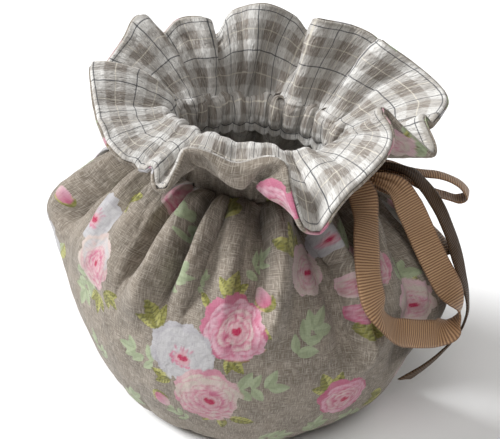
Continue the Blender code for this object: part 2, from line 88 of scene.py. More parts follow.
# Ridges and valleys down the wall, from the spout round the front and then round the back.
FOLDS = table(
    "top middle low width_top width_low height_top height_low ends",
    (206, 203.5, 204, 4.5, 5.5, -2.4, -2.6, 0.37),
    (218, 218, 220, 5, 6, 3.38, 2.17, 0.5),
    (231, 232.5, 233, 4.5, 5.5, 3.6, 2.6, 0.51),
    (245, 242.5, 241.5, 3.0, 3.0, -4.2, -1.8, 0.55),
    (255, 253, 250.5, 3.4, 4.5, 4.73, 3.19, 0.53),
    (260.5, 258.5, 257, 2.8, 3.5, -3.38, -1.45, 0.61),
    (265.5, 265, 263, 3, 4, 2.6, 1.8, 0.61),
    (270.5, 271.5, 272, 2.8, 3, -1.5, -1.0, 0.65),
    (276, 276.5, 277, 4.2, 4.6, 2.2, 1.5, 0.63),
    (286.5, 285.5, 285, 4.5, 5.5, -4.2, -2.6, 0.57),
    (296, 295, 291.5, 3.5, 4.5, 4.05, 2.9, 0.53),
    (302, 302.5, 301, 3.5, 4.5, -1.8, -2.0, 0.53),
    (307, 310.5, 313.5, 3.4, 4.0, -4.2, -4.0, 0.43),
    (319, 320.5, 320, 4.2, 5, 1.0, 1.4, 0.25),
    (331, 328, 325.5, 3.2, 3.6, -4.05, -2.9, 0.41),
    (341, 335.5, 330, 3.8, 4.5, 4.05, 3.62, 0.39),
    (351, 346, 342.5, 3.5, 4, -4.05, -4.35, 0.31),
    (15, 14, 13, 3.5, 4.5, -4.05, -3.62, 0.37),
    (26, 25, 24, 4, 5, 4.73, 3.62, 0.45),
    (36, 36, 37, 3.5, 4.5, -4.73, -2.9, 0.51),
    (46, 45, 44, 4, 5.5, 5.4, 4.35, 0.39),
    (56, 57, 58, 3.5, 5, -5.4, -4.35, 0.45),
    (66, 66, 65, 3.8, 4.5, 4.05, 2.9, 0.53),
    (75, 75, 76, 3.2, 4, -3.78, -2.17, 0.57),
    (84, 83, 82, 4, 5.5, 5.4, 5.08, 0.31),
    (94, 95, 96, 4, 5, -5.67, -4.35, 0.47),
    (104, 104, 104, 3.8, 4.5, 4.05, 2.9, 0.55),
    (113, 114, 115, 3.5, 4.5, -4.32, -2.9, 0.51),
    (123, 122, 121, 4, 5, 5.4, 4.35, 0.39),
    (133, 134, 135, 3.5, 4.5, -4.86, -3.62, 0.49),
    (143, 142, 141, 4, 5, 4.32, 2.9, 0.51),
    (153, 153, 154, 3.5, 4.5, -3.78, -2.9, 0.55),
    (165, 164, 163, 3.5, 4.5, -4.05, -3.62, 0.37),
)
FOLD_GAIN = 2.1
LIFT_LIMIT = 8.5
VALLEY_GAIN = 1.2
# Creases besides those folds, each drawn through three places; below 0 the depth is a ridge's.
CREASES = table(
    "azimuth_1 azimuth_2 azimuth_3 climb_1 climb_2 climb_3 depth width skew",
    (196, 194, 196, 0.97, 0.80, 0.62, -4.0, 4.0, -0.6),
    (201.5, 199, 201, 0.97, 0.80, 0.62, 6.5, 2.2, 0.2),
    (241.5, 240, 239, 0.97, 0.82, 0.64, -5.0, 2.6, -0.6),
    (245.5, 244, 243, 0.97, 0.84, 0.68, 6.0, 2.1, 0.1),
    (257, 254.5, 251.5, 0.97, 0.80, 0.60, -2.5, 2.8, -0.4),
    (261.5, 259, 256, 0.97, 0.80, 0.62, 6.0, 2.6, 0.2),
    (265.5, 264.5, 261.5, 0.97, 0.80, 0.66, -2.6, 1.8, 0.2),
    (269, 267.5, 265.5, 0.97, 0.80, 0.62, 3.6, 1.9, 0.6),
    (288.5, 291, 290.5, 0.98, 0.85, 0.64, 5.5, 2.4, -0.5),
    (293.5, 295, 292.5, 0.98, 0.85, 0.62, -3.2, 1.9, 0.3),
    (309, 318.5, 321.5, 0.97, 0.78, 0.50, 6.5, 2.8, -0.7),
    (313, 321.5, 324, 0.96, 0.78, 0.46, -6.0, 1.5, -0.1),
    (332, 332, 330, 0.97, 0.80, 0.56, 4.0, 3.2, 0.3),
    (356, 351, 346, 0.95, 0.76, 0.56, 4.0, 1.9, 0.3),
    (30, 31, 32, 0.97, 0.82, 0.62, 3.0, 3.2, 0.4),
    (89, 90, 91, 0.97, 0.82, 0.58, 3.0, 3.4, -0.4),
    (108, 109, 110, 0.97, 0.82, 0.66, 2.6, 3.0, 0.5),
    (148, 148, 147, 0.97, 0.82, 0.62, 3.0, 3.2, -0.4),
)
SWELLS = table(
    "azimuth climb width reach lift",
    (206, 0.46, 20, 0.24, 3.4),
    (246, 0.63, 7, 0.09, 2.8),
    (338, 0.20, 20, 0.15, 3.8),
    (300, 0.12, 22, 0.12, 2.0),
    (250, 0.40, 16, 0.18, -0.8),
    (282, 0.44, 18, 0.16, 0.9),
    (100, 0.40, 25, 0.20, 1.2),
    (60, 0.30, 18, 0.16, -0.9),
    (140, 0.34, 20, 0.18, 1.0),
)
NECK_PUFF = 2.2
NECK_PUFF_CLIMB = 0.93
NECK_PUFF_REACH = 0.10
HEM_PUCKERS = (15, 38, 58, 81, 103, 126, 150, 172, 198, 219, 235, 251, 268, 290, 313, 336, 345)
HEM_BULGE = 2.6
HEM_FADE = 13.0
# The handle's opening and the spout's.
OPENINGS = table("bottom top half_width", (20, 103, 11.5), (30, 103, 18.0))
SIDES = ("handle", "spout")
# The rim's lobes, each drawn through three places, from the handle round the back.
LOBES = table(
    "azimuth_1 azimuth_2 azimuth_3 reach_1 reach_2 reach_3 height_1 height_2 height_3 bow",
    (4, 18, 45, 74, 79, 61, 147, 147.5, 160, 2),
    (46, 61, 77, 67.5, 61, 50.5, 157, 161, 163, 2),
    (82, 107, 132, 63, 52, 63, 157, 165.5, 156, 3),
    (135, 147, 157, 56, 62, 66, 157.5, 156.5, 152, 2),
    (163, 171, 182, 71, 70, 75, 157, 151, 139, 1),
    (188, 194, 204, 71.5, 74.5, 73, 146, 143.5, 141.5, 2),
    (214, 225, 240, 72.5, 74, 75, 138, 133, 128, 0),
    (245, 251, 257, 67, 73, 78, 138, 134.5, 130, -1),
    (261, 277, 287, 68, 63, 67, 142, 140.5, 145, -9),
    (297, 309, 328, 83.5, 78.5, 69, 125.5, 137, 150, 2),
    (333, 346, 357, 60, 77, 68, 155, 140, 148, -2),
)
CREST_REACH = 3.0
CREST_HEIGHT = 131.0
CREST_FRONT_RISE = 5.0
RIM_OVERHANG = 0.015
GATHER_WAVES = table("waves share phase", (17, 0.34, 0.4), (24, 0.40, 2.1), (31, 0.26, 4.4))
CASING_STATIONS = (CASING_FOOT, NECK_SEAM, 116.0, CASING_TOP)
CASING_GATHERS = (0.25, 0.3, 1.1, 1.1)
FRILL_STATIONS = (0.0, 0.18, 0.38, 0.58, 0.79, 1.0)
FRILL_GATHERS = (1.2, 1.1, 0.7, 0.3, 0.1, 0.0)
BODY_GATHERS = 0.7
BODY_GATHER_CLIMB = 0.84
KNOT_CENTRE = (43.95, -6.5, 117.5)
KNOT_SIZE = (9.0, 14.0, 12.0)

ROUTE = "x y z across tilt share"
LONG_LOOP = table(
    ROUTE,
    (42.5, -13.7, 120.0, 15, 6, 0.32),
    (46.8, -18.0, 119.6, 15, 6, 0.75),
    (50.5, -22.0, 115.9, 15, 6, 1.00),
    (53.7, -27.5, 109.7, 35, -7, 1.00),
    (57.0, -38.5, 102.5, 37, -8, 1.00),
    (60.4, -46.5, 93.9, 39, -6, 1.00),
    (64.5, -50.5, 85.5, 43, 1, 1.00),
    (69.7, -50.5, 77.1, 78, -11, 1.00),
    (75.3, -46.0, 70.1, 92, 16, 1.00),
    (81.7, -41.0, 66.8, 111, 58, 1.00),
    (87.9, -36.0, 64.7, 118, 57, 1.00),
    (94.1, -30.5, 63.3, 114, 58, 1.00),
    (98.8, -26.5, 65.9, 99, 13, 1.00),
    (100.2, -24.0, 71.4, 89, -18, 1.00),
    (97.2, -21.5, 75.7, 62, 5, 1.00),
    (92.3, -19.5, 80.9, 31, 28, 1.00),
    (86.7, -17.5, 87.3, 30, 27, 1.00),
    (81.3, -15.5, 93.9, 30, 27, 1.00),
    (75.8, -13.5, 101.3, 30, 27, 1.00),
    (69.8, -13.0, 109.8, 32, 29, 1.00),
    (63.7, -12.5, 117.1, 33, 30, 0.80),
    (47.3, -10.7, 118.6, 37, 34, 0.32),
)
LONG_TAIL = table(
    ROUTE,
    (47.6, -6.6, 121.2, 68, 10, 0.32),
    (59.9, -3.0, 122.1, 68, -1, 0.55),
    (67.4, -2.5, 120.8, 66, -9, 0.80),
    (73.9, -2.0, 115.8, 69, -11, 1.00),
    (80.3, -1.5, 109.3, 69, -11, 1.00),
    (87.8, -2.0, 98.9, 68, -12, 1.00),
    (93.7, -2.5, 88.4, 67, -14, 1.00),
    (98.6, -3.5, 78.7, 68, -19, 1.00),
    (102.7, -6.5, 71.0, 76, -26, 1.00),
    (104.6, -11.5, 65.6, 82, -31, 1.00),
    (104.0, -16.5, 59.6, 85, -35, 1.00),
    (101.1, -22.5, 54.8, 84, -38, 1.00),
    (96.6, -27.0, 49.0, 81, -42, 1.00),
    (91.1, -31.0, 43.0, 78, -46, 1.00),
    (84.7, -34.5, 37.4, 74, -48, 1.00),
)
SHORT_LOOP = table(
    ROUTE,
    (45.6, -1.3, 120.8, 105, -8, 0.32),
    (58.5, 7.0, 118.6, 105, -8, 0.50),
    (65.8, 10.0, 115.9, 105, -8, 0.65),
    (72.8, 12.0, 114.9, 105, -8, 0.90),
    (78.9, 13.0, 115.1, 105, -8, 1.00),
    (84.7, 13.5, 114.2, 103, -8, 1.00),
    (90.6, 14.0, 111.4, 96, -5, 1.00),
    (93.8, 14.0, 107.1, 90, -4, 1.00),
    (90.4, 13.5, 104.7, 101, -8, 1.00),
    (84.6, 13.0, 105.1, 105, -8, 1.00),
    (78.2, 12.5, 106.1, 105, -8, 0.95),
    (70.7, 11.0, 108.6, 105, -8, 0.70),
    (63.1, 8.0, 112.8, 105, -8, 0.50),
    (47.4, -2.4, 115.9, 105, -8, 0.32),
)
SHORT_TAIL = table(
    ROUTE,
    (48.0, -6.7, 115.1, 74, -15, 0.32),
    (62.3, -3.5, 109.9, 74, -15, 0.55),
    (68.8, -1.0, 106.2, 80, -19, 0.75),
    (75.0, 0.5, 100.9, 82, -21, 0.90),
    (81.2, -0.5, 94.9, 74, -15, 1.00),
    (85.9, -2.5, 90.0, 60, -3, 1.00),
    (89.4, -5.5, 85.9, 56, -1, 1.00),
)
TAIL_SLANT = 5.0

knot_low, knot_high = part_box("ribbon_knot")
SHIFT = np.array((knot_low + knot_high) / 2) / MM - np.array(KNOT_CENTRE)


# -------------------------------------------------------------------------- small tools


def spline(knots, values, at):
    """A smooth curve through values at knots, read at the given places."""
    values = np.asarray(values, float)
    knots = np.asarray(knots, float)
    at = np.atleast_1d(np.asarray(at, float))
    slopes = np.gradient(values, knots, axis=0)
    index = np.clip(np.searchsorted(knots, at, side="right") - 1, 0, len(knots) - 2)
    step = knots[index + 1] - knots[index]
    t = (at - knots[index]) / step
    if values.ndim > 1:
        extra = (1,) * (values.ndim - 1)
        t = t.reshape(t.shape + extra)
        step = step.reshape(step.shape + extra)
    start = (2 * t**3 - 3 * t**2 + 1) * values[index] + (t**3 - 2 * t**2 + t) * step * slopes[index]
    end = (3 * t**2 - 2 * t**3) * values[index + 1] + (t**3 - t**2) * step * slopes[index + 1]
    return start + end


def chord_lengths(points):
    return np.concatenate([[0.0], np.cumsum(np.linalg.norm(np.diff(points, axis=0), axis=1))])


def smooth(low, high, value):
    share = np.clip((value - low) / (high - low), 0, 1)
    return share * share * (3 - 2 * share)


def bumps(distance, width):
    return np.exp(-((distance / width) ** 2))


def turn_difference(a, b):
    return (a - b + 180.0) % 360.0 - 180.0


def ring_points(azimuth, radius, height):
    angle = np.radians(azimuth)
    height = np.broadcast_to(height, np.shape(azimuth))
    return np.stack([radius * np.cos(angle), radius * np.sin(angle), height], axis=-1)


def lattice(ix, iy, seed):
    """A repeatable number from 0 to 1 for each whole-number place."""
    mixed = (ix * 374761393 + iy * 668265263 + seed * 974711) & 0xFFFFFFFF
    mixed = ((mixed ^ (mixed >> 13)) * 1274126177) & 0xFFFFFFFF
    return ((mixed ^ (mixed >> 16)) & 0xFFFFFF) / 0xFFFFFF


def noise(x, y, seed=0):
    """Smooth noise between -1 and 1, about one bump for each unit."""
    x, y = np.broadcast_arrays(x, y)
    ix, iy = np.floor(x).astype(np.int64), np.floor(y).astype(np.int64)
    fx, fy = x - ix, y - iy
    fx, fy = fx * fx * (3 - 2 * fx), fy * fy * (3 - 2 * fy)
    low = lattice(ix, iy, seed) * (1 - fx) + lattice(ix + 1, iy, seed) * fx
    high = lattice(ix, iy + 1, seed) * (1 - fx) + lattice(ix + 1, iy + 1, seed) * fx
    return 2 * (low * (1 - fy) + high * fy) - 1


def gathers(azimuth):
    """The uneven waves of gathered cloth around the neck, between about -1 and 1."""
    angle = np.radians(azimuth)
    waves = zip(*GATHER_WAVES.values())
    return sum(share * np.cos(count * angle + phase) for count, share, phase in waves)


def linear(colour):
    """A colour from 0-255 screen values to linear light."""
    value = np.asarray(colour, float) / 255
    return np.where(value <= 0.04045, value / 12.92, ((value + 0.055) / 1.055) ** 2.4)


def added(name, data):
    """A new object of the scene."""
    made = bpy.data.objects.new(name, data)
    bpy.context.scene.collection.objects.link(made)
    return made


# --------------------------------------------------------------------- building a sheet

COARSE = 3


def grid_normals(points, wrap):
    if wrap:
        along = np.roll(points, -1, axis=1) - np.roll(points, 1, axis=1)
    else:
        along = np.gradient(points, axis=1)
    up = np.gradient(points, axis=0)
    normals = np.cross(along, up)
    return normals / np.maximum(np.linalg.norm(normals, axis=2, keepdims=True), 1e-9)


OTHER_WAY = [0, 3, 2, 1]


def grid_quads(rows, columns, index):
    """The squares of a grid, "index" being a corner's number from its row and column."""
    r, c = np.meshgrid(np.arange(rows), np.arange(columns), indexing="ij")
    corners = (index(r, c), index(r, c + 1), index(r + 1, c + 1), index(r + 1, c))
    return np.stack(corners, -1).reshape(-1, 4)


def sheet_object(name, front, back, wrap, outward, flat, slots, attributes=()):
    """A closed sheet: a fine grid for the face that shows and a coarse one for the other.

    Rows run up the cloth and columns anticlockwise; "outward" says that the fine face looks
    away from the cosy's axis. "flat" holds each fine point's place on the uncut cloth.
    """
    rows, columns = front.shape[:2]
    behind = back[::COARSE, ::COARSE]
    back_rows, back_columns = behind.shape[:2]
    start = rows * columns

    def fine(r, c):
        return r * columns + (c % columns if wrap else c)

    def rough(r, c):
        return start + r * back_columns + (c % back_columns if wrap else c)

    faces = grid_quads(rows - 1, columns if wrap else columns - 1, fine).tolist()
    fine_count = len(faces)
    last = back_columns if wrap else back_columns - 1
    faces += grid_quads(back_rows - 1, last, rough)[:, OTHER_WAY].tolist()
    rough_count = len(faces) - fine_count
    steps = range(COARSE + 1)
    for k in range(last):
        foot = [int(fine(0, COARSE * k + s)) for s in steps]
        top = [int(fine(rows - 1, COARSE * k + s)) for s in steps]
        faces.append(foot[::-1] + [int(rough(0, k)), int(rough(0, k + 1))])
        faces.append(top + [int(rough(back_rows - 1, k + 1)), int(rough(back_rows - 1, k))])
    if not wrap:
        for k in range(back_rows - 1):
            left = [int(fine(COARSE * k + s, 0)) for s in steps]
            right = [int(fine(COARSE * k + s, columns - 1)) for s in steps]
            faces.append(left + [int(rough(k + 1, 0)), int(rough(k, 0))])
            faces.append(right[::-1] + [int(rough(k, last)), int(rough(k + 1, last))])
    if not outward:
        faces = [face[::-1] for face in faces]
    points = np.concatenate([front.reshape(-1, 3), behind.reshape(-1, 3)]) + SHIFT
    mesh = bpy.data.meshes.new(name)
    mesh.from_pydata((points * MM).tolist(), [], faces)
    mesh.shade_smooth()

    def both(values):
        coarse = values[::COARSE, ::COARSE]
        wide = values.shape[2] if values.ndim == 3 else 1
        return np.concatenate([values.reshape(-1, wide), coarse.reshape(-1, wide)])

    cloth = np.zeros((len(points), 3))
    cloth[:, :2] = both(flat) * MM
    mesh.attributes.new("cloth", "FLOAT_VECTOR", "POINT").data.foreach_set("vector", cloth.ravel())
    for key, values in attributes:
        wide = both(values)
        if wide.shape[1] == 3:
            wide = np.concatenate([wide, np.ones((len(wide), 1))], axis=1)
            made = mesh.attributes.new(key, "FLOAT_COLOR", "POINT")
            made.data.foreach_set("color", wide.ravel())
        else:
            mesh.attributes.new(key, "FLOAT", "POINT").data.foreach_set("value", wide.ravel())
    for slot_material in slots:
        mesh.materials.append(slot_material)
    if len(slots) > 1:
        index = np.zeros(len(faces), np.int32)
        index[fine_count : fine_count + rough_count] = 1
        mesh.polygons.foreach_set("material_index", index)
    mesh.validate()
    return added(name, mesh)


def blurred(normals, reach, wrap=True):
    """Normals averaged with their neighbours, so that lifted cloth doesn't cross itself."""
    sides = np.pad(normals, ((0, 0), (reach, reach), (0, 0)), "wrap" if wrap else "edge")
    total = sum(sides[:, k : k + normals.shape[1]] for k in range(2 * reach + 1))
    padded = np.pad(total, ((reach, reach), (0, 0), (0, 0)), "edge")
    total = sum(padded[k : k + len(normals)] for k in range(2 * reach + 1))
    return total / np.linalg.norm(total, axis=2, keepdims=True)


LEAST_EDGE = 0.04


def rounded(lift, distance, radius):
    """A sheet's half thickness, rounded off towards its edge."""
    share = np.clip(1 - distance / radius, 0, 1)
    return lift * np.sqrt(np.maximum(1 - share**2, LEAST_EDGE))


# ------------------------------------------------------------------------- printed cloth

INK = {
    "linen": (146, 138, 125),
    "pink_dark": (152, 48, 84),
    "pink_deep": (164, 76, 106),
    "pink": (178, 108, 130),
    "pink_pale": (194, 156, 167),
    "blush": (188, 168, 165),
    "white": (172, 170, 171),
    "white_shade": (154, 151, 155),
    "magenta": (160, 22, 68),
    "cream": (182, 170, 160),
    "olive_dark": (72, 72, 30),
    "olive": (120, 117, 53),
    "olive_light": (168, 165, 97),
    "mint": (137, 147, 117),
    "mint_light": (156, 166, 135),
    "mint_dark": (116, 127, 94),
    "linen_low": (113, 104, 93),
    "linen_high": (131, 121, 109),
    "linen_pale_thread": (192, 184, 173),
    "linen_dark_thread": (90, 80, 68),
    "check_grey": (140, 131, 122),
    "check_white": (219, 217, 213),
    "check_lit": (226, 224, 220),
    "check_shaded": (96, 88, 82),
    "check_cream": (226, 219, 204),
    "check_line": (72, 74, 78),
    "check_dark_thread": (120, 112, 104),
    "check_rim": (150, 143, 133),
    "ribbon_groove": (118, 85, 58),
    "ribbon_rib": (190, 152, 114),
    "ribbon_patch": (126, 92, 62),
    "ribbon_fibre": (186, 156, 128),
    "ribbon_edge": (104, 74, 52),
    # Painted shade: the long tail's ribbon drawn almost to black where it lies in shadow.
    "ribbon_painted_shade": (14, 9, 6),
}
INK = {name: linear(colour) for name, colour in INK.items()}


LAY_SOFTNESS = 0.3
PRINT_REACH = 1.2


class Print:
    """Flowers and leaves painted on the flat cloth, read at each point of a sheet.

    "edge" is how far inside the print each point lies, in millimetres, below 0 outside it.
    """

    def __init__(self, flat):
        self.shape = flat.shape[:-1]
        self.u = flat[..., 0].ravel()
        self.v = flat[..., 1].ravel()
        self.colour = np.tile(INK["linen"], (len(self.u), 1))
        self.edge = np.full(len(self.u), -3.0)

    def near(self, u, v, reach):
        found = np.abs(self.u - u) < reach
        found[found] = np.abs(self.v[found] - v) < reach
        return np.nonzero(found)[0]

    def blend(self, index, share, colour):
        share = share[:, None]
        self.colour[index] = self.colour[index] * (1 - share) + colour * share

    def lay(self, index, inside, colour):
        """Widens the print to where "inside" (mm from the shape's edge) is above 0."""
        cover = np.clip(0.5 + inside / LAY_SOFTNESS, 0, 1)
        spread = (self.edge[index] < 0.05) & (inside > -PRINT_REACH)
        cover = np.where(spread, np.maximum(cover, (inside > self.edge[index]) * 1.0), cover)
        self.edge[index] = np.maximum(self.edge[index], inside)
        self.blend(index, cover, colour)

    def mark(self, index, inside, colour, soft=0.5):
        """Paints over the print where "inside" is above 0, without widening it."""
        cover = np.clip(0.5 + inside / soft, 0, 1)
        self.blend(index, cover * (self.edge[index] > -PRINT_REACH), colour)

    def attributes(self):
        return [
            ("print_colour", self.colour.reshape(self.shape + (3,))),
            ("print_edge", self.edge.reshape(self.shape)),
        ]


def heading(angle):
    """The cosine and sine of an angle in degrees."""
    return math.cos(math.radians(angle)), math.sin(math.radians(angle))


def turned(printed, index, u, v, angle):
    x, y = printed.u[index] - u, printed.v[index] - v
    c, s = heading(angle)
    return x * c + y * s, -x * s + y * c


def between(first, second, share):
    share = np.clip(share, 0, 1)[:, None]
    return INK[first] * (1 - share) + INK[second] * share


def petal(printed, index, x, y, distance, angle, length, width, tones, seed, curl):
    """One petal, its middle at a distance from the flower's and its base towards it."""
    c, s = math.cos(angle), math.sin(angle)
    along = x * c + y * s - distance
    across = -x * s + y * c + curl * along**2 / length
    wave = 0.10 * noise(across / width * 2.3 + seed, along / length * 2.3, seed)
    size = np.hypot(along / length, across / width)
    inside = (1 + wave - size) * min(length, width)
    dark, middle, light = tones
    bow = along + 0.35 * length * (across / width) ** 2
    share = 0.42 + 0.62 * bow / length + 0.26 * noise(across * 1.3 + seed, along * 0.4, seed + 3)
    low, high = between(dark, middle, share * 2), between(middle, light, share * 2 - 1)
    colour = np.where((share < 0.5)[:, None], low, high)
    rim = np.clip(1 - np.abs(inside - 0.35) / 0.45, 0, 1)[:, None] * 0.55
    colour = colour * (1 - rim) + INK[light] * rim
    printed.mark(index, inside, colour)
    shade = np.clip(1 - np.abs(inside + 0.25) / 0.40, 0, 1) * 0.45
    printed.blend(index, shade * (printed.edge[index] > 0), INK[dark])


FLOWER_TONES = {
    "pink": (("pink_deep", "pink", "pink_pale"), ("pink_dark", "pink", "blush")),
    "white": (("white_shade", "white", "white"), ("white_shade", "white", "white")),
    "blush": (("pink", "blush", "cream"), ("pink_deep", "pink", "blush")),
    "mixed": (("cream", "blush", "white"), ("pink_deep", "pink", "blush")),
    "faded": (("pink_pale", "blush", "cream"), ("pink_deep", "pink_pale", "cream")),
}
PETAL_RINGS = table(
    "count distance length width",
    (7, 0.66, 0.30, 0.42),
    (6, 0.50, 0.30, 0.40),
    (5, 0.36, 0.24, 0.34),
    (4, 0.24, 0.18, 0.26),
    (3, 0.12, 0.13, 0.19),
)
OUTER_RINGS = 2
HEART_SHIFT = 0.10


def flower(printed, u, v, radius, angle, seed, style):
    """An open rose or peony: rings of broad petals, the outer ones laid first."""
    index = printed.near(u, v, radius * 1.35 + 2)
    if not len(index):
        return
    x, y = turned(printed, index, u, v, angle)
    x = x + 0.05 * radius * noise(x / radius * 3 + seed, y / radius * 3, seed)
    y = y + 0.05 * radius * noise(x / radius * 3, y / radius * 3 + seed, seed + 1)
    round_it, out = np.arctan2(y, x), np.hypot(x, y)
    lobes = 3.5 + seed % 3 * 0.5
    scallop = 0.11 * np.abs(np.sin(lobes * round_it + seed)) ** 0.6
    scallop = scallop + 0.05 * np.sin(2 * round_it + seed)
    fringe = 0.04 * noise(round_it * 8, out * 0.2, seed + 7)
    fringe = fringe + 0.03 * noise(round_it * 19, 0.5, seed + 8)
    outer, inner = FLOWER_TONES[style]
    tint = 0.5 + 0.6 * noise(x / radius * 2, y / radius * 2, seed + 5)
    base = between(outer[0], outer[1], tint)
    printed.lay(index, radius * (0.90 + scallop + fringe) - out, base)
    pick = np.random.default_rng(seed)
    x, y = x - HEART_SHIFT * radius, y + HEART_SHIFT * radius
    for ring, (count, distance, length, width) in enumerate(zip(*PETAL_RINGS.values())):
        first = pick.uniform(0, 2 * math.pi)
        for k in range(int(count)):
            turn = first + 2 * math.pi * k / int(count) + pick.uniform(-0.35, 0.35)
            darker = style in ("blush", "mixed") and math.sin(turn) < -0.1
            tones = inner if darker or ring >= OUTER_RINGS else outer
            away = radius * distance * pick.uniform(0.85, 1.08)
            long = radius * length * pick.uniform(0.8, 1.15)
            wide = radius * width * pick.uniform(0.8, 1.25)
            curl = pick.uniform(-0.25, 0.25)
            petal_seed = seed * 17 + ring * 5 + k
            petal(printed, index, x, y, away, turn, long, wide, tones, petal_seed, curl)
    heart(printed, index, x, y, radius, seed)
    if style == "white":
        stamens(printed, index, x, y, radius, seed)


def heart(printed, index, x, y, radius, seed):
    """The dark middle of a flower, notched at its top."""
    size = 0.15 * radius
    notch = 0.10 * radius - np.hypot(x + 0.01 * radius, y - 0.17 * radius)
    out = np.hypot(x * 0.9, y * 1.15) * (1 + 0.15 * noise(x / size, y / size, seed))
    uneven = 1 + 0.2 * noise(x / size, y / size, seed + 2)
    halo = 0.26 * radius - np.hypot(x, y + 0.03 * radius) * uneven
    colour = INK["pink"] * 0.5 + INK["blush"] * 0.5
    printed.mark(index, halo, colour, 0.12 * radius)
    printed.mark(index, np.minimum(size - out, -notch), INK["magenta"], 0.4)


def stamens(printed, index, x, y, radius, seed):
    """A few short strokes to one side of a white flower's middle, and a thin line around it."""
    pick = np.random.default_rng(seed + 50)
    colour = INK["pink_deep"] * 0.75 + INK["white"] * 0.25
    for k in range(7):
        turn = math.radians(48 + 22 * k) + pick.uniform(-0.12, 0.12)
        middle = radius * pick.uniform(0.27, 0.40)
        c, s = math.cos(turn), math.sin(turn)
        along, across = x * c + y * s - middle, -x * s + y * c
        inside = (1 - np.hypot(along / (0.07 * radius), across / (0.028 * radius))) * 0.4
        printed.mark(index, inside, colour)
    ring = 0.035 * radius - np.abs(np.hypot(x, y) - 0.33 * radius * (1 + 0.2 * noise(x, y, seed)))
    ring = np.minimum(ring, -0.6 * x - y - 0.1 * radius)
    printed.mark(index, ring, INK["pink"])


LEAF_TONES = {
    "olive": ("olive_dark", "olive", "olive_light"),
    "lime": ("olive", "olive_light", "mint_light"),
    "mint": ("mint_dark", "mint", "mint_light"),
}


def leaf(printed, u, v, length, width, angle, seed, tone="olive"):
    """An ovate leaf with a toothed edge, a midrib and side veins; (u, v) is its stalk end."""
    c, s = heading(angle)
    index = printed.near(u + c * length / 2, v + s * length / 2, length * 0.75 + 2)
    if not len(index):
        return
    x, y = turned(printed, index, u, v, angle)
    y = y + 0.10 * length * ((x / length - 0.5) ** 2 - 0.25) * (1 if seed % 2 else -1)
    share = np.clip(x / length, 0, 1)
    half = width / 2 * np.sin(math.pi * share**0.8) ** 0.85
    teeth = 0.07 * width * np.abs(((share * 7) % 1) - 0.5) * 2 if tone != "mint" else 0.0
    inside = np.minimum(half - teeth - np.abs(y), np.minimum(x, length - x) + 0.1)
    dark, middle, light = LEAF_TONES[tone]
    side = 0.5 + 0.35 * np.sign(y) * (1 if seed % 3 else -1) + 0.3 * noise(x * 0.5, y * 0.8, seed)
    colour = between(middle, light, side)
    printed.lay(index, inside, colour)
    if tone == "mint":
        rib = np.clip(1 - np.abs(y) / 0.3, 0, 1) * 0.4
    else:
        veins = np.abs((share * 6 - np.abs(y) / width * 2.2) % 1 - 0.5) * 2
        rib = np.clip((veins - 0.62) / 0.25, 0, 1) * 0.75
        rib = np.maximum(rib, np.clip(1.3 - np.abs(y) / 0.28, 0, 1) * 0.9)
        rib = np.maximum(rib, np.clip(1 - inside / 0.5, 0, 1) * 0.55 * (side < 0.5))
    printed.blend(index, rib * (inside > -0.1), INK[dark])


def bud(printed, u, v, size, angle, seed):
    """A closed flower bud in its green sepals."""
    for turn, width in ((35, 0.5), (-35, 0.5), (0, 0.55)):
        leaf(printed, u, v, size * 1.1, size * width, angle + turn, seed)
    c, s = heading(angle)
    index = printed.near(u + c * size * 0.9, v + s * size * 0.9, size + 2)
    if not len(index):
        return
    x, y = turned(printed, index, u + c * size * 0.85, v + s * size * 0.85, angle)
    inside = (1 - np.hypot(x / (0.62 * size), y / (0.48 * size))) * 0.5 * size
    share = 0.5 + 0.5 * x / size + 0.3 * noise(y * 1.2, x * 0.4, seed)
    printed.lay(index, inside, between("pink_deep", "blush", share))
    for shift, base, tip in ((0.16, "pink", "blush"), (-0.16, "pink_deep", "pink_pale")):
        inner = (1 - np.hypot(x / (0.5 * size), (y - shift * size) / (0.26 * size))) * 0.3 * size
        printed.mark(index, inner, between(base, tip, 0.5 + x / size))


SPRIG_SIZE = 0.88
MISSING_LEAVES = 0.12


def sprig(printed, u, v, size, angle, seed):
    """Pairs of leaves along an unseen stalk and one at its tip."""
    pick = np.random.default_rng(seed)
    c, s = heading(angle)
    size = size * SPRIG_SIZE
    for k in range(3):
        reach = size * (0.12 + 0.24 * k)
        x, y = u + reach * c, v + reach * s
        for side in (-1, 1):
            if pick.uniform() < MISSING_LEAVES:
                continue
            length = size * pick.uniform(0.34, 0.44)
            lean = angle + side * pick.uniform(40, 62)
            leaf(printed, x, y, length, length * 0.52, lean, seed + k, "mint")
    tip = size * 0.66
    x, y = u + tip * c, v + tip * s
    leaf(printed, x, y, size * 0.42, size * 0.22, angle + pick.uniform(-10, 10), seed, "mint")


def leaves(printed, u, v, size, angle, seed):
    """Three leaves that fan out from one point."""
    for k, turn in enumerate((-42, 38, 0)):
        length = size * (0.85 if turn else 1.0)
        leaf(printed, u, v, length, length * 0.5, angle + turn, seed + k)


def lone_leaf(printed, u, v, size, angle, seed, tone="olive"):
    leaf(printed, u, v, size, size * 0.5, angle, seed, tone)


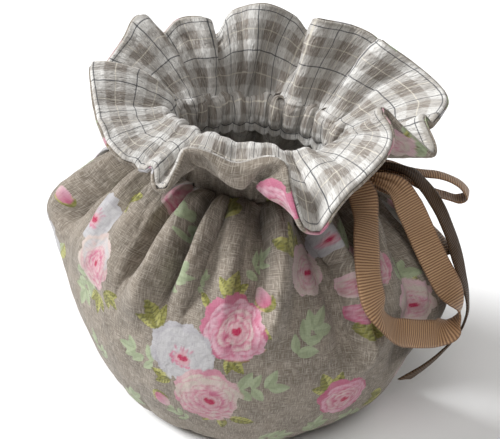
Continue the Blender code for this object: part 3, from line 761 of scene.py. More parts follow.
# The print's motifs on the front panel, by the function that paints them: u and v on the flat
# cloth, from the spout seam and up from the hem, size, angle, seed and, for some, the tone.
# Leaves are laid first and flowers over them.
MOTIFS = {
    sprig: (
        (110, 108, 15, 110, 1), (110, 88, 17, 59, 2), (127, 90, 12, 100, 3), (143, 102, 19, 30, 4),
        (167, 68, 27, 48, 5), (144, 54, 25, 5, 6), (112, 55, 22, 170, 7), (66, 78, 26, -108, 8),
        (127, 26, 15, -215, 9), (158, 18, 20, 10, 10), (184, 12, 22, 80, 11),
        (46, 111, 16, 200, 12), (80, 36, 18, 130, 13), (196, 108, 22, 30, 14),
        (222, 98, 20, -20, 15), (16, 108, 20, 250, 16), (30, 45, 18, 300, 17),
        (84, 14, 22, 40, 18), (214, 18, 20, 150, 19),
    ),
    leaves: (
        (110, 72, 13, 122, 1), (139, 91, 12, 86, 3), (142, 69, 10, -50, 6), (119, 51, 10, 170, 7),
        (80, 75, 10, -30, 11), (73, 70, 11, -85, 12), (188, 47, 14, 120, 13),
        (167, 108, 13, 108, 14), (64, 110, 13, 20, 15), (200, 72, 12, 58, 17),
        (128, 123, 11, 60, 18), (30, 22, 13, 20, 19), (232, 82, 12, 110, 20),
        (222, 32, 12, 200, 24),
    ),
    lone_leaf: (
        (199, 79, 8, -80, 25), (131, 86, 8, 133, 2), (152, 83, 8, -43, 4), (150, 71, 7, 20, 5),
        (138, 37, 9, -125, 8), (141, 36, 10, -85, 9), (144, 37, 12, -15, 10),
        (28, 60, 14, 60, 16, "lime"), (100, 118, 11, 250, 21, "lime"),
    ),
    bud: (
        (156, 87, 7, 108, 2), (111, 41, 7, -55, 3), (27, 88, 5, 133, 4), (48, 25, 7, -120, 6),
    ),
    flower: (
        (142, 80, 13.5, 10, 3, "pink"), (122, 65, 14.0, 0, 8, "white"),
        (134, 47, 14.5, 0, 5, "blush"), (57, 97, 10.5, 0, 12, "white"),
        (70, 83, 11.5, 20, 6, "mixed"), (176, 103, 11.0, 0, 9, "faded"),
        (194, 43, 12.0, -20, 15, "pink"), (189, 113, 6.5, 30, 21, "white"),
        (197.5, 94, 5.0, 0, 41, "faded"), (20, 68, 10.5, 0, 23, "white"),
        (211, 100, 9.0, 0, 27, "blush"), (230, 80, 11.0, 0, 31, "faded"),
        (12, 30, 13.0, 40, 34, "pink"), (92, 124, 9.0, 0, 36, "mixed"),
        (243, 30, 13.0, 0, 38, "blush"), (199.5, 83, 4.6, 60, 40, "pink"),
    ),
}


def paint(flat, shifts, plain=(0.0, 0.0)):
    """The print over a sheet, its motifs repeated at each (u, v) shift.

    No motif is centred between the two values of u in "plain".
    """
    printed = Print(flat)
    for painter, rows in MOTIFS.items():
        for du, dv in shifts:
            for u, v, *rest in rows:
                if not plain[0] < u + du < plain[1]:
                    painter(printed, u + du, v + dv, *rest)
    return printed


# ----------------------------------------------------------------------------- materials


class Nodes:
    """A short way to write a material's nodes."""

    def __init__(self, name, roughness, sheen=0.0, sheen_roughness=0.5, specular=0.25):
        self.material = bpy.data.materials.new(name)
        self.material.use_nodes = True
        self.tree = self.material.node_tree
        self.shader = self.tree.nodes["Principled BSDF"]
        self.shader.inputs["Roughness"].default_value = roughness
        self.shader.inputs["Specular IOR Level"].default_value = specular
        self.shader.inputs["Sheen Weight"].default_value = sheen
        self.shader.inputs["Sheen Roughness"].default_value = sheen_roughness

    def link(self, source, target):
        self.tree.links.new(source, target)

    def put(self, target, value):
        if isinstance(value, bpy.types.NodeSocket):
            self.link(value, target)
        else:
            target.default_value = value

    def attribute(self, name, output="Color"):
        node = self.tree.nodes.new("ShaderNodeAttribute")
        node.attribute_name = name
        return node.outputs[output]

    def math(self, operation, first, second=0.0, third=0.0):
        node = self.tree.nodes.new("ShaderNodeMath")
        node.operation = operation
        for socket, value in zip(node.inputs, (first, second, third)):
            self.put(socket, value)
        return node.outputs[0]

    def add(self, kind, values):
        node = self.tree.nodes.new(kind)
        for key, value in values.items():
            self.put(node.inputs[key], value)
        return node

    def scaled(self, vector, scale, rotation=(0, 0, 0)):
        turn = [math.radians(value) for value in rotation]
        values = {"Vector": vector, "Scale": scale, "Rotation": turn}
        return self.add("ShaderNodeMapping", values).outputs[0]

    def noise(self, vector, scale=1.0, detail=2.0, roughness=0.5, distortion=0.0):
        values = {"Vector": vector, "Scale": scale, "Detail": detail}
        values.update({"Roughness": roughness, "Distortion": distortion})
        return self.add("ShaderNodeTexNoise", values).outputs[0]

    def ramp(self, value, low, high, to_low=0.0, to_high=1.0, soft=True):
        values = {"Value": value, "From Min": low, "From Max": high}
        values.update({"To Min": to_low, "To Max": to_high})
        node = self.add("ShaderNodeMapRange", values)
        node.interpolation_type = "SMOOTHSTEP" if soft else "LINEAR"
        return node.outputs[0]

    def mix(self, factor, first, second):
        node = self.tree.nodes.new("ShaderNodeMix")
        node.data_type = "RGBA"
        self.put(node.inputs[0], factor)
        for socket, value in ((node.inputs[6], first), (node.inputs[7], second)):
            if isinstance(value, (tuple, list, np.ndarray)):
                socket.default_value = (*[float(part) for part in value[:3]], 1.0)
            else:
                self.put(socket, value)
        return node.outputs[2]

    def split(self, vector):
        return self.add("ShaderNodeSeparateXYZ", {"Vector": vector}).outputs

    def bump(self, height, distance, strength, below=None):
        values = {"Height": height, "Distance": distance, "Strength": strength}
        if below is not None:
            values["Normal"] = below
        return self.add("ShaderNodeBump", values).outputs[0]

    def tint(self, colour, where, share, tone):
        """The colour with a share of an ink laid where "where" is 1."""
        return self.mix(self.math("MULTIPLY", where, share), colour, INK[tone])

    def either(self, first, second, low, high):
        """The larger of two noises' ramps."""
        return self.math("MAXIMUM", self.ramp(first, low, high), self.ramp(second, low, high))

    def finish(self, colour, normal):
        self.link(colour, self.shader.inputs["Base Color"])
        self.link(normal, self.shader.inputs["Normal"])
        return self.material


def threads(nodes, place, across, run):
    """Uneven threads of a plain weave both ways, from 0 to 1 around 0.5.

    They are about "across" millimetres wide and "run" millimetres long.
    """
    fine, long = 1000 / across, 1000 / run
    warp = nodes.noise(nodes.scaled(place, (fine, long, 1)), detail=2.5, roughness=0.6)
    weft = nodes.noise(nodes.scaled(place, (long, fine, 7)), detail=2.5, roughness=0.6)
    return warp, weft


WEAVE_STRENGTH = 0.8
LINEN_WEAVE = 0.00022
LINEN_CRUMPLE = 0.0016
INK_IN_GROOVES = (0.10, 0.08, 0.07)
INK_ON_THREADS = (0.70, 0.69, 0.67)


def linen_material():
    """Uneven linen weave with the painted print, whose edge follows the threads."""
    nodes = Nodes("flower_print", 0.88, sheen=0.12)
    place = nodes.attribute("cloth", "Vector")
    warp, weft = threads(nodes, place, 0.30, 4.0)
    light = nodes.math("MULTIPLY", nodes.ramp(warp, 0.48, 0.68), 0.9)
    light_weft = nodes.math("MULTIPLY", nodes.ramp(weft, 0.49, 0.69), 0.9)
    pale = nodes.math("MAXIMUM", light, light_weft)
    dark = nodes.either(warp, weft, 0.46, 0.30)
    blotch = nodes.noise(nodes.scaled(place, (90, 90, 1)), detail=3.0)
    linen = nodes.mix(nodes.ramp(blotch, 0.35, 0.65), INK["linen_low"], INK["linen_high"])
    linen = nodes.tint(linen, pale, 0.58, "linen_pale_thread")
    linen = nodes.tint(linen, dark, 0.62, "linen_dark_thread")
    weave = nodes.math("MAXIMUM", warp, weft)
    shaded = nodes.attribute("print_colour")
    shaded = nodes.mix(nodes.math("MULTIPLY", dark, 0.20), shaded, INK_IN_GROOVES)
    shaded = nodes.mix(nodes.math("MULTIPLY", pale, 0.10), shaded, INK_ON_THREADS)
    raised = nodes.math("SUBTRACT", weave, 0.6)
    ragged = nodes.math("MULTIPLY_ADD", raised, 0.5, nodes.attribute("print_edge", "Fac"))
    colour = nodes.mix(nodes.ramp(ragged, -0.10, 0.14), linen, shaded)
    fuzz = nodes.noise(place, scale=2600, detail=3.0, roughness=0.7)
    height = nodes.math("ADD", weave, nodes.math("MULTIPLY", fuzz, 0.5))
    crumple = nodes.noise(place, scale=160, detail=3.0, roughness=0.55, distortion=0.4)
    normal = nodes.bump(crumple, LINEN_CRUMPLE, 0.7)
    return nodes.finish(colour, nodes.bump(height, LINEN_WEAVE, WEAVE_STRENGTH, normal))


CHECK_PITCH = 0.0195
CHECK_WEAVE = 0.00026
CHECK_CRINKLE = 0.0014
CRINKLE_TURN = (0, 0, 35)


def check_material():
    """A check of white bands with dark and cream lines along them, one set each way."""
    nodes = Nodes("check_lining", 0.88, sheen=0.1)
    place = nodes.attribute("cloth", "Vector")
    wander = nodes.noise(nodes.scaled(place, (120, 120, 1)), detail=1.0)
    wander = nodes.math("MULTIPLY_ADD", wander, 0.0008, -0.0004)
    parts = nodes.split(place)
    lines, creams, whites = [], [], []
    for axis in (0, 1):
        shifted = nodes.math("ADD", parts[axis], wander)
        turn = nodes.math("FRACT", nodes.math("MULTIPLY", shifted, 1 / CHECK_PITCH))
        away = nodes.math("ABSOLUTE", nodes.math("SUBTRACT", turn, 0.5))
        lines.append(nodes.ramp(away, 0.5 - 0.020, 0.5 - 0.008))
        creams.append(nodes.ramp(away, 0.020, 0.008))
        whites.append(nodes.ramp(away, 0.225, 0.275))
    warp, weft = threads(nodes, place, 0.5, 5.0)
    slubs = nodes.noise(nodes.scaled(place, (900, 170, 1), (0, 0, 38)), detail=3.0, roughness=0.6)
    white = nodes.math("MULTIPLY", nodes.math("ADD", whites[0], whites[1]), 0.5)
    white = nodes.math("MULTIPLY_ADD", nodes.math("SUBTRACT", slubs, 0.5), 0.8, white)
    white = nodes.ramp(white, -0.1, 1.1, soft=False)
    colour = nodes.mix(white, INK["check_grey"], INK["check_white"])
    twill = nodes.scaled(place, (1900, 300, 1), CRINKLE_TURN)
    twill = nodes.noise(twill, detail=2.5, roughness=0.6)
    colour = nodes.tint(colour, nodes.ramp(twill, 0.52, 0.70), 0.5, "check_lit")
    colour = nodes.tint(colour, nodes.ramp(twill, 0.48, 0.30), 0.5, "check_shaded")
    for cream in creams:
        colour = nodes.tint(colour, cream, 0.55, "check_cream")
    for line in lines:
        colour = nodes.tint(colour, line, nodes.ramp(slubs, 0.25, 0.55, 0.55, 0.9), "check_line")
    dark = nodes.either(warp, weft, 0.44, 0.22)
    colour = nodes.tint(colour, dark, 0.22, "check_dark_thread")
    colour = nodes.tint(colour, nodes.ramp(parts[1], 0.0012, 0.0028), 0.6, "check_rim")
    crinkle = nodes.scaled(place, (780, 210, 1), CRINKLE_TURN)
    crinkle = nodes.noise(crinkle, detail=3.5, roughness=0.6, distortion=0.35)
    normal = nodes.bump(crinkle, CHECK_CRINKLE, 0.85)
    raised = nodes.math("MULTIPLY", twill, 1.2)
    weave = nodes.math("ADD", nodes.math("MAXIMUM", warp, weft), raised)
    return nodes.finish(colour, nodes.bump(weave, CHECK_WEAVE, WEAVE_STRENGTH, normal))


RIB_PITCH = 0.0011
RIB_HEIGHT = 0.00022


def ribbon_material(name, shade=1.0):
    """Ribbed ribbon; "shade" below 1 is painted shade that darkens it and its sheen, as on the long
    tail, which lies in shadow.
    """
    sheen, specular = 0.15 * shade**2, 0.35 * shade
    nodes = Nodes(name, 0.52, sheen, 0.4, specular)
    place = nodes.attribute("cloth", "Vector")
    parts = nodes.split(place)
    wobble = nodes.noise(nodes.scaled(place, (300, 300, 1)), detail=1.0)
    along = nodes.math("MULTIPLY_ADD", wobble, 0.00025, parts[1])
    wave = nodes.math("SINE", nodes.math("MULTIPLY", along, 2 * math.pi / RIB_PITCH))
    rib = nodes.ramp(wave, -0.75, 0.9)
    fine = nodes.noise(nodes.scaled(place, (5000, 900, 1)), detail=2.0)
    patch = nodes.noise(nodes.scaled(place, (60, 60, 1)), detail=2.0)
    colour = nodes.mix(rib, INK["ribbon_groove"], INK["ribbon_rib"])
    colour = nodes.mix(nodes.ramp(patch, 0.3, 0.7, 0.0, 0.25), colour, INK["ribbon_patch"])
    colour = nodes.mix(nodes.ramp(fine, 0.4, 0.75, 0.0, 0.22), colour, INK["ribbon_fibre"])
    selvedge = nodes.ramp(nodes.math("ABSOLUTE", parts[0]), 0.0053, 0.0057)
    colour = nodes.tint(colour, selvedge, 0.5, "ribbon_edge")
    # Painted shade: the colour drawn towards near black by 1 - shade.
    colour = nodes.mix(1 - shade, colour, INK["ribbon_painted_shade"])
    return nodes.finish(colour, nodes.bump(rib, RIB_HEIGHT, WEAVE_STRENGTH))


LINEN = linen_material()
CHECK = check_material()
RIBBON = ribbon_material("brown_ribbon")
# The long tail's ribbon with painted shade for the shadow it lies in; the real ribbon is one
# colour.
PAINTED_SHADE_RIBBON = ribbon_material("brown_ribbon_painted_shade", 0.2)


# ------------------------------------------------------------------------------ the body


PROFILE_RUN = chord_lengths(np.stack([PROFILE["height"], PROFILE["front"]], axis=1))
BODY_LENGTH = float(PROFILE_RUN[-1])


def profile_at(climb, column):
    """A column of the profile, "climb" running from 0 at the hem to 1 at the neck seam."""
    knots = PROFILE_RUN / PROFILE_RUN[-1]
    return spline(knots, PROFILE[column], np.ravel(climb)).reshape(np.shape(climb))


def wall_reach(azimuth, climb):
    """How far the smooth wall is from the middle."""
    angle = np.radians(azimuth)
    across, along = np.cos(angle), np.sin(angle)
    side = np.where(across > 0, profile_at(climb, "handle"), profile_at(climb, "spout"))
    face = np.where(along > 0, profile_at(climb, "back"), profile_at(climb, "front"))
    tent = np.where(across > 0, profile_at(climb, "handle_tent"), profile_at(climb, "spout_tent"))
    return side * across**2 + face * along**2 + tent * np.abs(across) ** TENT_SHARPNESS


def profile_normal(climb):
    step = 0.01
    low, high = np.maximum(climb - step, 0), np.minimum(climb + step, 1)
    radial = profile_at(high, "front") - profile_at(low, "front")
    upward = profile_at(high, "height") - profile_at(low, "height")
    size = np.hypot(radial, upward)
    return upward / size, -radial / size


def fold_relief(azimuth, climb):
    """How far the folds lift the cloth at each point."""
    relief = np.zeros_like(azimuth)
    top, middle, low = FOLD_STATIONS
    for row in zip(*FOLDS.values()):
        top_az, middle_az, low_az, width_top, width_low, height_top, height_low, ends = row
        heights = (2 * low - middle, low, middle, top)
        run = np.interp(climb, heights, (2 * low_az - middle_az, low_az, middle_az, top_az))
        share = np.clip((climb - low) / (top - low), 0, 1)
        width = width_low + (width_top - width_low) * share
        height = height_low + (height_top - height_low) * share
        fade = smooth(0, 1, (climb - ends) / FOLD_FADE)
        relief += height * fade * bumps(turn_difference(azimuth, run), width)
    return relief


def swells(azimuth, climb):
    """Broad uneven fullness of the wall."""
    relief = np.zeros_like(azimuth)
    for place, height, width, reach, lift in zip(*SWELLS.values()):
        across = lift * bumps(turn_difference(azimuth, place), width)
        relief += across * bumps(climb - height, reach)
    return relief


def sharpened(relief):
    """Deepens the folds: ridges stay below a limit and valleys close up into creases."""
    lifted = LIFT_LIMIT * np.tanh(FOLD_GAIN * np.maximum(relief, 0) / LIFT_LIMIT)
    sunk = VALLEY_GAIN * np.minimum(relief, 0)
    return lifted + sunk


def deep_creases(azimuth, climb):
    """Creases with one steep wall, besides the folds that the solid has too."""
    relief = np.zeros_like(azimuth)
    for top_az, mid_az, low_az, top, mid, low, depth, width, skew in zip(*CREASES.values()):
        run = np.interp(climb, (low, mid, top), (low_az, mid_az, top_az))
        away = turn_difference(azimuth, run)
        size = np.where(away > 0, width * (1 + skew), width * (1 - skew))
        fade = smooth(low - 0.06, low + 0.10, climb)
        relief -= depth * fade * np.exp(-np.abs(away / size) ** 1.3)
    return relief


CRUMPLE_LEAN = 16
CRUMPLE_FADE = (0.50, 0.86)
CRUMPLE_LIFTS = (1.5, 1.0, 0.4)
FOLD_WANDER = 1.1


def crumples(azimuth, climb):
    """Small crisp folds that run down from the neck, with sharp valleys and sharp edges.

    They are left out beside the side seams.
    """
    lean = azimuth + CRUMPLE_LEAN * (1 - climb) * noise(azimuth / 45, 0.5, 41)
    valleys = 2 * np.abs(noise(lean / 7.5, climb * 2.7, 42)) - 0.75
    edges = 0.75 - 2 * np.abs(noise(lean / 4.6, climb * 4.4, 43))
    fine = noise(lean / 2.4, climb * 9, 44)
    away_from_seams = smooth(0, 0.14, np.abs(np.sin(np.radians(azimuth))))
    a, b, c = CRUMPLE_LIFTS
    return away_from_seams * smooth(*CRUMPLE_FADE, climb) * (a * valleys + b * edges + c * fine)


def hem_relief(azimuth, height):
    puckers = np.array(HEM_PUCKERS + (HEM_PUCKERS[0] + 360,), float)
    around = (azimuth - puckers[0]) % 360 + puckers[0]
    index = np.clip(np.searchsorted(puckers, around, side="right") - 1, 0, len(HEM_PUCKERS) - 1)
    share = (around - puckers[index]) / (puckers[index + 1] - puckers[index])
    bulge = np.sqrt(np.sin(math.pi * np.clip(share, 0, 1))) - 0.7
    return HEM_BULGE * bulge * np.exp(-height / HEM_FADE)


TUCKS = 58


def tucks(azimuth, climb):
    """Narrow tucks between the main folds, deepest at the neck seam."""
    pick = np.random.default_rng(4)
    relief = np.zeros_like(azimuth)
    for k in range(TUCKS):
        place = 360 * (k + pick.uniform(0.15, 0.85)) / TUCKS
        ends = pick.uniform(0.70, 0.90)
        depth = pick.uniform(0.4, 1.3) * (-1 if k % 3 else 0.8)
        width = pick.uniform(1.0, 1.9)
        lean = pick.uniform(-6, 6)
        run = place + lean * (1 - climb)
        relief += depth * smooth(ends, 1.02, climb) * bumps(turn_difference(azimuth, run), width)
    return relief


def body_points(azimuth, climb):
    """The middle of the body's cloth."""
    height = profile_at(climb, "height")
    wander = FOLD_WANDER * noise(azimuth / 6, climb * 6, 45)
    wavy = azimuth + wander * np.abs(np.sin(np.radians(azimuth)))
    relief = sharpened(fold_relief(wavy, climb)) + tucks(azimuth, climb) + swells(azimuth, climb)
    relief += deep_creases(wavy, climb) + crumples(azimuth, climb)
    relief += NECK_PUFF * bumps(climb - NECK_PUFF_CLIMB, NECK_PUFF_REACH)
    gathered = np.clip((climb - BODY_GATHER_CLIMB) / (1 - BODY_GATHER_CLIMB), 0, 1)
    relief += BODY_GATHERS * gathered * gathers(azimuth)
    outward, upward = profile_normal(climb)
    radius = wall_reach(azimuth, climb) + relief * outward + hem_relief(azimuth, height)
    return ring_points(azimuth, radius, height + relief * upward)


def seam_radius(azimuth):
    face = CASING_RADIUS + CASING_GATHERS[1] * gathers(azimuth)
    return face + PIECE_GAP / 2 + FRILL_THICKNESS + PIECE_GAP


def opening_half_width(height, opening):
    bottom, top = OPENINGS["bottom"][opening], OPENINGS["top"][opening]
    share = np.clip((height - bottom) / (top - bottom), 0, 1)
    return OPENINGS["half_width"][opening] * np.sin(math.pi * share) ** 0.8


def edge_angle(climb, opening):
    height = profile_at(climb, "height")
    side = SIDES[opening]
    reach = profile_at(climb, side) + profile_at(climb, side + "_tent")
    half = opening_half_width(height, opening) + SEAM_GAP / 2
    return np.degrees(np.arcsin(np.clip(half / reach, 0, 0.9)))


REFERENCE_CLIMB = 0.45


def flat_width(azimuth):
    """How far along the uncut cloth each azimuth lies, from the handle side, in millimetres."""
    fine = np.linspace(0, 360, 721)
    reach = wall_reach(fine, np.full_like(fine, REFERENCE_CLIMB))
    return np.interp(azimuth, fine, chord_lengths(ring_points(fine, reach, 0.0)))


SEAM_BLEND = (0.955, 1.0)
PANEL_EDGE = 1.6
OPENING_STITCH = 4.5
HEM_STITCH = 6.0
STITCH_DEPTH = 0.35
FLOOR_GAP = 0.02


def panel(name, start, end, start_opening, end_opening, columns, rows, shifts):
    """A body panel between two openings, its printed face outwards and its lining inwards."""
    share = np.linspace(0, 1, COARSE * columns + 1)
    share, climb = np.meshgrid(share, np.linspace(0, 1, COARSE * rows + 1))
    first = start + edge_angle(climb, start_opening)
    last = end - edge_angle(climb, end_opening)
    azimuth = first + (last - first) * share
    middle = body_points(azimuth, climb)
    seam = ring_points(azimuth, seam_radius(azimuth), NECK_SEAM)
    blend = smooth(*SEAM_BLEND, climb)[..., None]
    middle = middle * (1 - blend) + seam * blend
    u, v = flat_width(azimuth) - flat_width(180.0), climb * BODY_LENGTH
    normals = blurred(grid_normals(middle, False), 1, False)
    from_start = u - u[:, :1]
    from_side = np.minimum(from_start, u[:, -1:] - u)
    edge = np.minimum(from_side, np.minimum(v + 0.3, 3 + BODY_LENGTH - v))
    half = rounded(BODY_HALF, edge, PANEL_EDGE)
    dents = 0.55 * noise(u / 17, v / 21, 5) + 0.28 * noise(u / 8, v / 9, 6)
    dents = dents + 0.10 * noise(u / 3.1, v / 3.3, 7)
    rolled = bumps(from_side - OPENING_STITCH, 0.9) * smooth(0, 3, edge)
    pucker = noise(u / 4 + 9, v / 3.2, 8) * bumps(from_side, 6.0)
    detail = (dents + 0.35 * pucker) * smooth(0, 4, edge) - STITCH_DEPTH * rolled
    detail -= STITCH_DEPTH * bumps(v - HEM_STITCH, 0.8) * smooth(0, 3, from_start)
    front = middle + normals * (half + detail)[..., None]
    back = middle - normals * half[..., None]
    for face in (front, back):
        face[..., 2] = np.maximum(face[..., 2], FLOOR_GAP)
    flat = np.stack([u, v], axis=-1)
    attributes = paint(flat, shifts).attributes()
    made = sheet_object(name, front, back, False, True, flat, (LINEN, CHECK), attributes)
    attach(made, "root")
    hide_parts(name)


# ----------------------------------------------------------------------------- the frill


def rim_points(columns):
    """The ruffle's rim: evenly spaced columns, each with its azimuth, reach, height and bow."""
    parts = [[LOBES[key + place] for place in "123"] for key in ("azimuth_", "reach_", "height_")]
    parts.append([LOBES["bow"]] * 3)
    knots = np.array(parts, float).transpose(2, 1, 0).reshape(-1, 4)
    turn = np.array([360.0, 0, 0, 0])
    knots = np.vstack([knots[-3:] - turn, knots, knots[:3] + turn])
    along = chord_lengths(ring_points(*knots[:, :3].T))
    fine = spline(along, knots, np.linspace(along[3], along[-3], 4000))
    length = chord_lengths(ring_points(*fine[:, :3].T))
    share = np.linspace(0, length[-1], columns + 1)
    rim = np.stack([np.interp(share, length, fine[:, k]) for k in range(4)], axis=1)
    return rim, float(length[-1])


def frill_path(rim, reach_share):
    """The solid's own rows of points, from the casing's foot to the rim."""
    even = np.linspace(0, 360, len(rim))
    neck = even + np.mean((rim[:, 0] - even)[:-1])
    waves = gathers(neck)
    rows = []
    for height, strength in zip(CASING_STATIONS, CASING_GATHERS):
        rows.append(ring_points(neck, CASING_RADIUS + strength * waves, height))
    crest = CREST_HEIGHT - CREST_FRONT_RISE * np.sin(np.radians(neck))
    crest_reach = CASING_RADIUS + CREST_REACH
    middle_reach = (crest_reach + rim[:, 1]) / 2
    middle_height = (crest + rim[:, 2]) / 2 + 2 * rim[:, 3]
    for station, strength in zip(FRILL_STATIONS, FRILL_GATHERS):
        t = station * reach_share
        radius = (1 - t) ** 2 * crest_reach + 2 * t * (1 - t) * middle_reach + t**2 * rim[:, 1]
        height = (1 - t) ** 2 * crest + 2 * t * (1 - t) * middle_height + t**2 * rim[:, 2]
        azimuth = neck + (rim[:, 0] - neck) * t
        rows.append(ring_points(azimuth, radius + strength * waves, height))
    return np.array(rows), neck


FRILL_WIDTH = 66.0
# Where the casing's puckers start and are full, and where they start to fade and end.
CASING_BAND = (3.0, 8.0, 20.0, 34.0)
CASING_STITCHES = (17.5, 4.5)
CASING_STITCH_DEPTH = 0.45
# The ruffle's front is drawn less tightly: where, how widely and by how much.
FRONT_EASE = (275, 34, 0.75)

# Pleats of the ruffle, at azimuths of the rim. Above 0 the cloth is pushed outwards, a valley
# as seen from inside. "skew" makes one wall steep: the later one below 0, the earlier one
# above. "neck", "half" and "rim" are its strength on the way out, "dip" is how far it draws
# the rim back and "drop" how far it lowers it.
PLEATS = table(
    "azimuth depth width skew neck half rim dip drop",
    (16, 2.2, 5.0, 0.3, 1.2, 1.0, 0.4, 0, 0),
    (31, 2.8, 4.4, 0.4, 1.2, 0.8, 0.2, 0, 0),
    (41.5, -4.0, 6.0, -0.55, 0.4, 0.9, 0.9, 0, 0),
    (47.5, 6.0, 5.5, 0.55, 0.9, 1.0, 0.9, 2, 0),
    (62, 3.2, 4.6, -0.3, 1.3, 0.9, 0.3, 0, 0),
    (75.0, -4.0, 6.0, -0.55, 0.3, 0.9, 0.9, 0, 0),
    (81.5, 6.5, 6.0, 0.55, 0.9, 1.1, 1.0, 5, 0),
    (93, 4.4, 4.4, 0.4, 1.5, 0.9, 0.2, 0, 0),
    (106, 3.6, 4.0, -0.3, 1.5, 0.8, 0.1, 0, 0),
    (118, 4.4, 4.4, 0.3, 1.5, 0.9, 0.2, 0, 0),
    (131.0, 6.5, 6.5, -0.5, 0.9, 1.0, 0.9, 10, 0),
    (138.5, -4.0, 6.0, 0.5, 0.3, 0.9, 0.8, 0, 0),
    (146, 3.2, 4.2, -0.4, 1.3, 1.0, 0.2, 0, 0),
    (154.5, 6.0, 5.5, -0.5, 0.9, 1.1, 0.8, 2, 0),
    (161.5, -4.0, 5.5, 0.5, 0.3, 1.0, 0.8, 0, 0),
    (173, 3.0, 4.2, -0.3, 1.2, 0.9, 0.3, 0, 0),
    (187.0, 7.0, 6.0, -0.55, 0.9, 1.0, 0.9, 0, 2),
    (195.0, -6.0, 6.5, 0.5, 0.5, 1.1, 0.8, 0, 0),
    (203, 1.6, 4.4, 0.3, 1.2, 0.8, 0.1, 0, 0),
    (212, 2.6, 4.6, -0.4, 1.1, 0.9, 0.1, 0, 0),
    (226, 2.6, 4.4, -0.3, 1.0, 0.9, 0.2, 0, -4),
    (236, 2.0, 4.0, 0.0, 0.4, 0.8, 0.7, 0, -6),
    (245.0, 1.6, 4.4, 0.0, 0.3, 1.0, 0.3, -6, 9),
    (255.5, 3.0, 3.4, 0.0, 0.3, 1.0, 1.0, 0, 0),
    (260.3, -2.2, 3.2, 0.0, 0.0, 0.8, 0.9, 0, 0),
    (264, -1.2, 5.0, 0.0, 0.0, 1.0, 0.0, 0, 0),
    (274.5, 3.4, 7.0, 0.0, 0.0, 1.0, 0.5, 0, 0),
    (285, -1.2, 5.0, 0.0, 0.0, 1.0, 0.0, 0, 0),
    (290.0, -2.0, 3.2, 0.0, 0.0, 0.6, 0.9, 0, 0),
    (299.0, 4.8, 3.8, 0.0, 0.4, 1.2, 1.0, 0, 0),
    (311, 2.2, 5.0, 0.3, 1.0, 0.8, 0.2, 0, 0),
    (333.0, -2.6, 3.4, 0.0, 0.3, 0.9, 0.9, 0, 0),
    (345, 3.2, 5.0, 0.3, 1.0, 1.0, 0.4, 0, 0),
    (359, 6.5, 4.6, 0.6, 0.8, 1.0, 0.8, 0, 0),
)
PLEAT_SHAPE = 1.4
DIP_WIDTH = 7.0
PUCKERS = 31
PUCKER_SIZE = 2.1
FINE_PUCKERS = 74
FINE_PUCKER_SIZE = 0.5
MIDDLE_WIDTH = 24.0


def pleat_relief(rim, u, v):
    """How far the pleats push the cloth outwards, draw it back and lower it."""
    depth, dip, drop = np.zeros(u.shape), np.zeros(u.shape), np.zeros(u.shape)
    length = u[0, -1] + u[0, 1]
    neck_length = 2 * math.pi * (CASING_RADIUS + CREST_REACH)
    rise = smooth(CASING_BAND[1], CASING_BAND[2] + 6, v)
    share = np.clip((v - MIDDLE_WIDTH) / (FRILL_WIDTH - MIDDLE_WIDTH), 0, 1)
    stretch = length / neck_length + (1 - length / neck_length) * share**0.7
    for azimuth, deep, width, skew, neck, half, edge, draw, fall in zip(*PLEATS.values()):
        turns = (azimuth - rim[0, 0]) % 360 + rim[0, 0]
        place = np.interp(turns, rim[:, 0], np.linspace(0, length, len(rim)))
        away = ((u[0] - place + length / 2) % length - length / 2)[None, :]
        size = np.where(away > 0, 1 + skew, 1 - skew) * width * stretch
        shape = np.exp(-np.abs(away / size) ** PLEAT_SHAPE)
        pull = 2 * half - (neck + edge) / 2
        fade = rise * (neck * (1 - share) ** 2 + 2 * pull * share * (1 - share) + edge * share**2)
        depth += deep * shape * fade
        near = bumps(away, DIP_WIDTH) * share**2
        dip += draw * near
        drop += fall * near
    return depth, dip, drop


def rounded_puckers(angle, count, phase, wander):
    """Soft bulges with a sharp crease between each two, from -1 in a crease to about 0.4."""
    return np.abs(np.cos(count * angle / 2 + phase + wander)) ** 0.7 * 1.4 - 1.0


# Folds of outer cloth that hang in a point at the front: "lift" is how far out, "fold" the v of
# the point and "slope" how much nearer to the rim the fold lies at its two ends.
DROOPS = table(
    "azimuth reach lift fold slope",
    (277.5, 12.5, 5.2, 59, 5),
    (289.5, 9.5, 7.5, 49, 4),
)
DROOP_RISE = 5.0
DROOP_END = FRILL_WIDTH + 2


def droop(azimuth, v):
    """How far the outer cloth hangs out in its points at the front."""
    out = 0
    for middle, reach, lift, fold, slope in zip(*DROOPS.values()):
        away = np.abs(turn_difference(azimuth, middle)) / reach
        fold = fold + slope * away
        hang = lift * np.clip(1.05 - away, 0, 1) * smooth(fold - DROOP_RISE, fold, v)
        out = np.maximum(out, hang * (1 - smooth(fold + 1, DROOP_END, v)))
    return out


def tightness(neck, v):
    """How tightly the cloth is drawn together, from 0 to 1."""
    start, full, fading, end = CASING_BAND
    uneven = 9 * noise(np.radians(neck)[None, :] * 8, 0.5, 6)
    tight = smooth(start, full, v) * (1 - smooth(fading + 0.4 * uneven, end + uneven, v))
    azimuth, width, ease = FRONT_EASE
    front = bumps(turn_difference(neck, azimuth), width)[None, :]
    return tight * (1 - ease * front * smooth(12, 20, v))


def puckers(neck, v):
    """The casing's gathered bulges, broad and fine, and how large the broad ones are."""
    angle = np.radians(neck)[None, :]
    wander = 1.3 * noise(angle * 5, v / 40, 3) + 0.5 * noise(angle * 11, v / 14, 13)
    bulges = rounded_puckers(angle, PUCKERS, 0.3, wander)
    fine = rounded_puckers(angle, FINE_PUCKERS, 1.1, 1.6 * noise(angle * 13, v / 9, 4))
    return bulges, fine, PUCKER_SIZE + 0.8 * noise(angle * 7, 0.5, 17)


RIM_ROLL = 0.25
LINING_PUFF = 1.6
# How far the lining and the outer cloth may sink below their own face.
SINK_LIMITS = (1.0, 0.55)


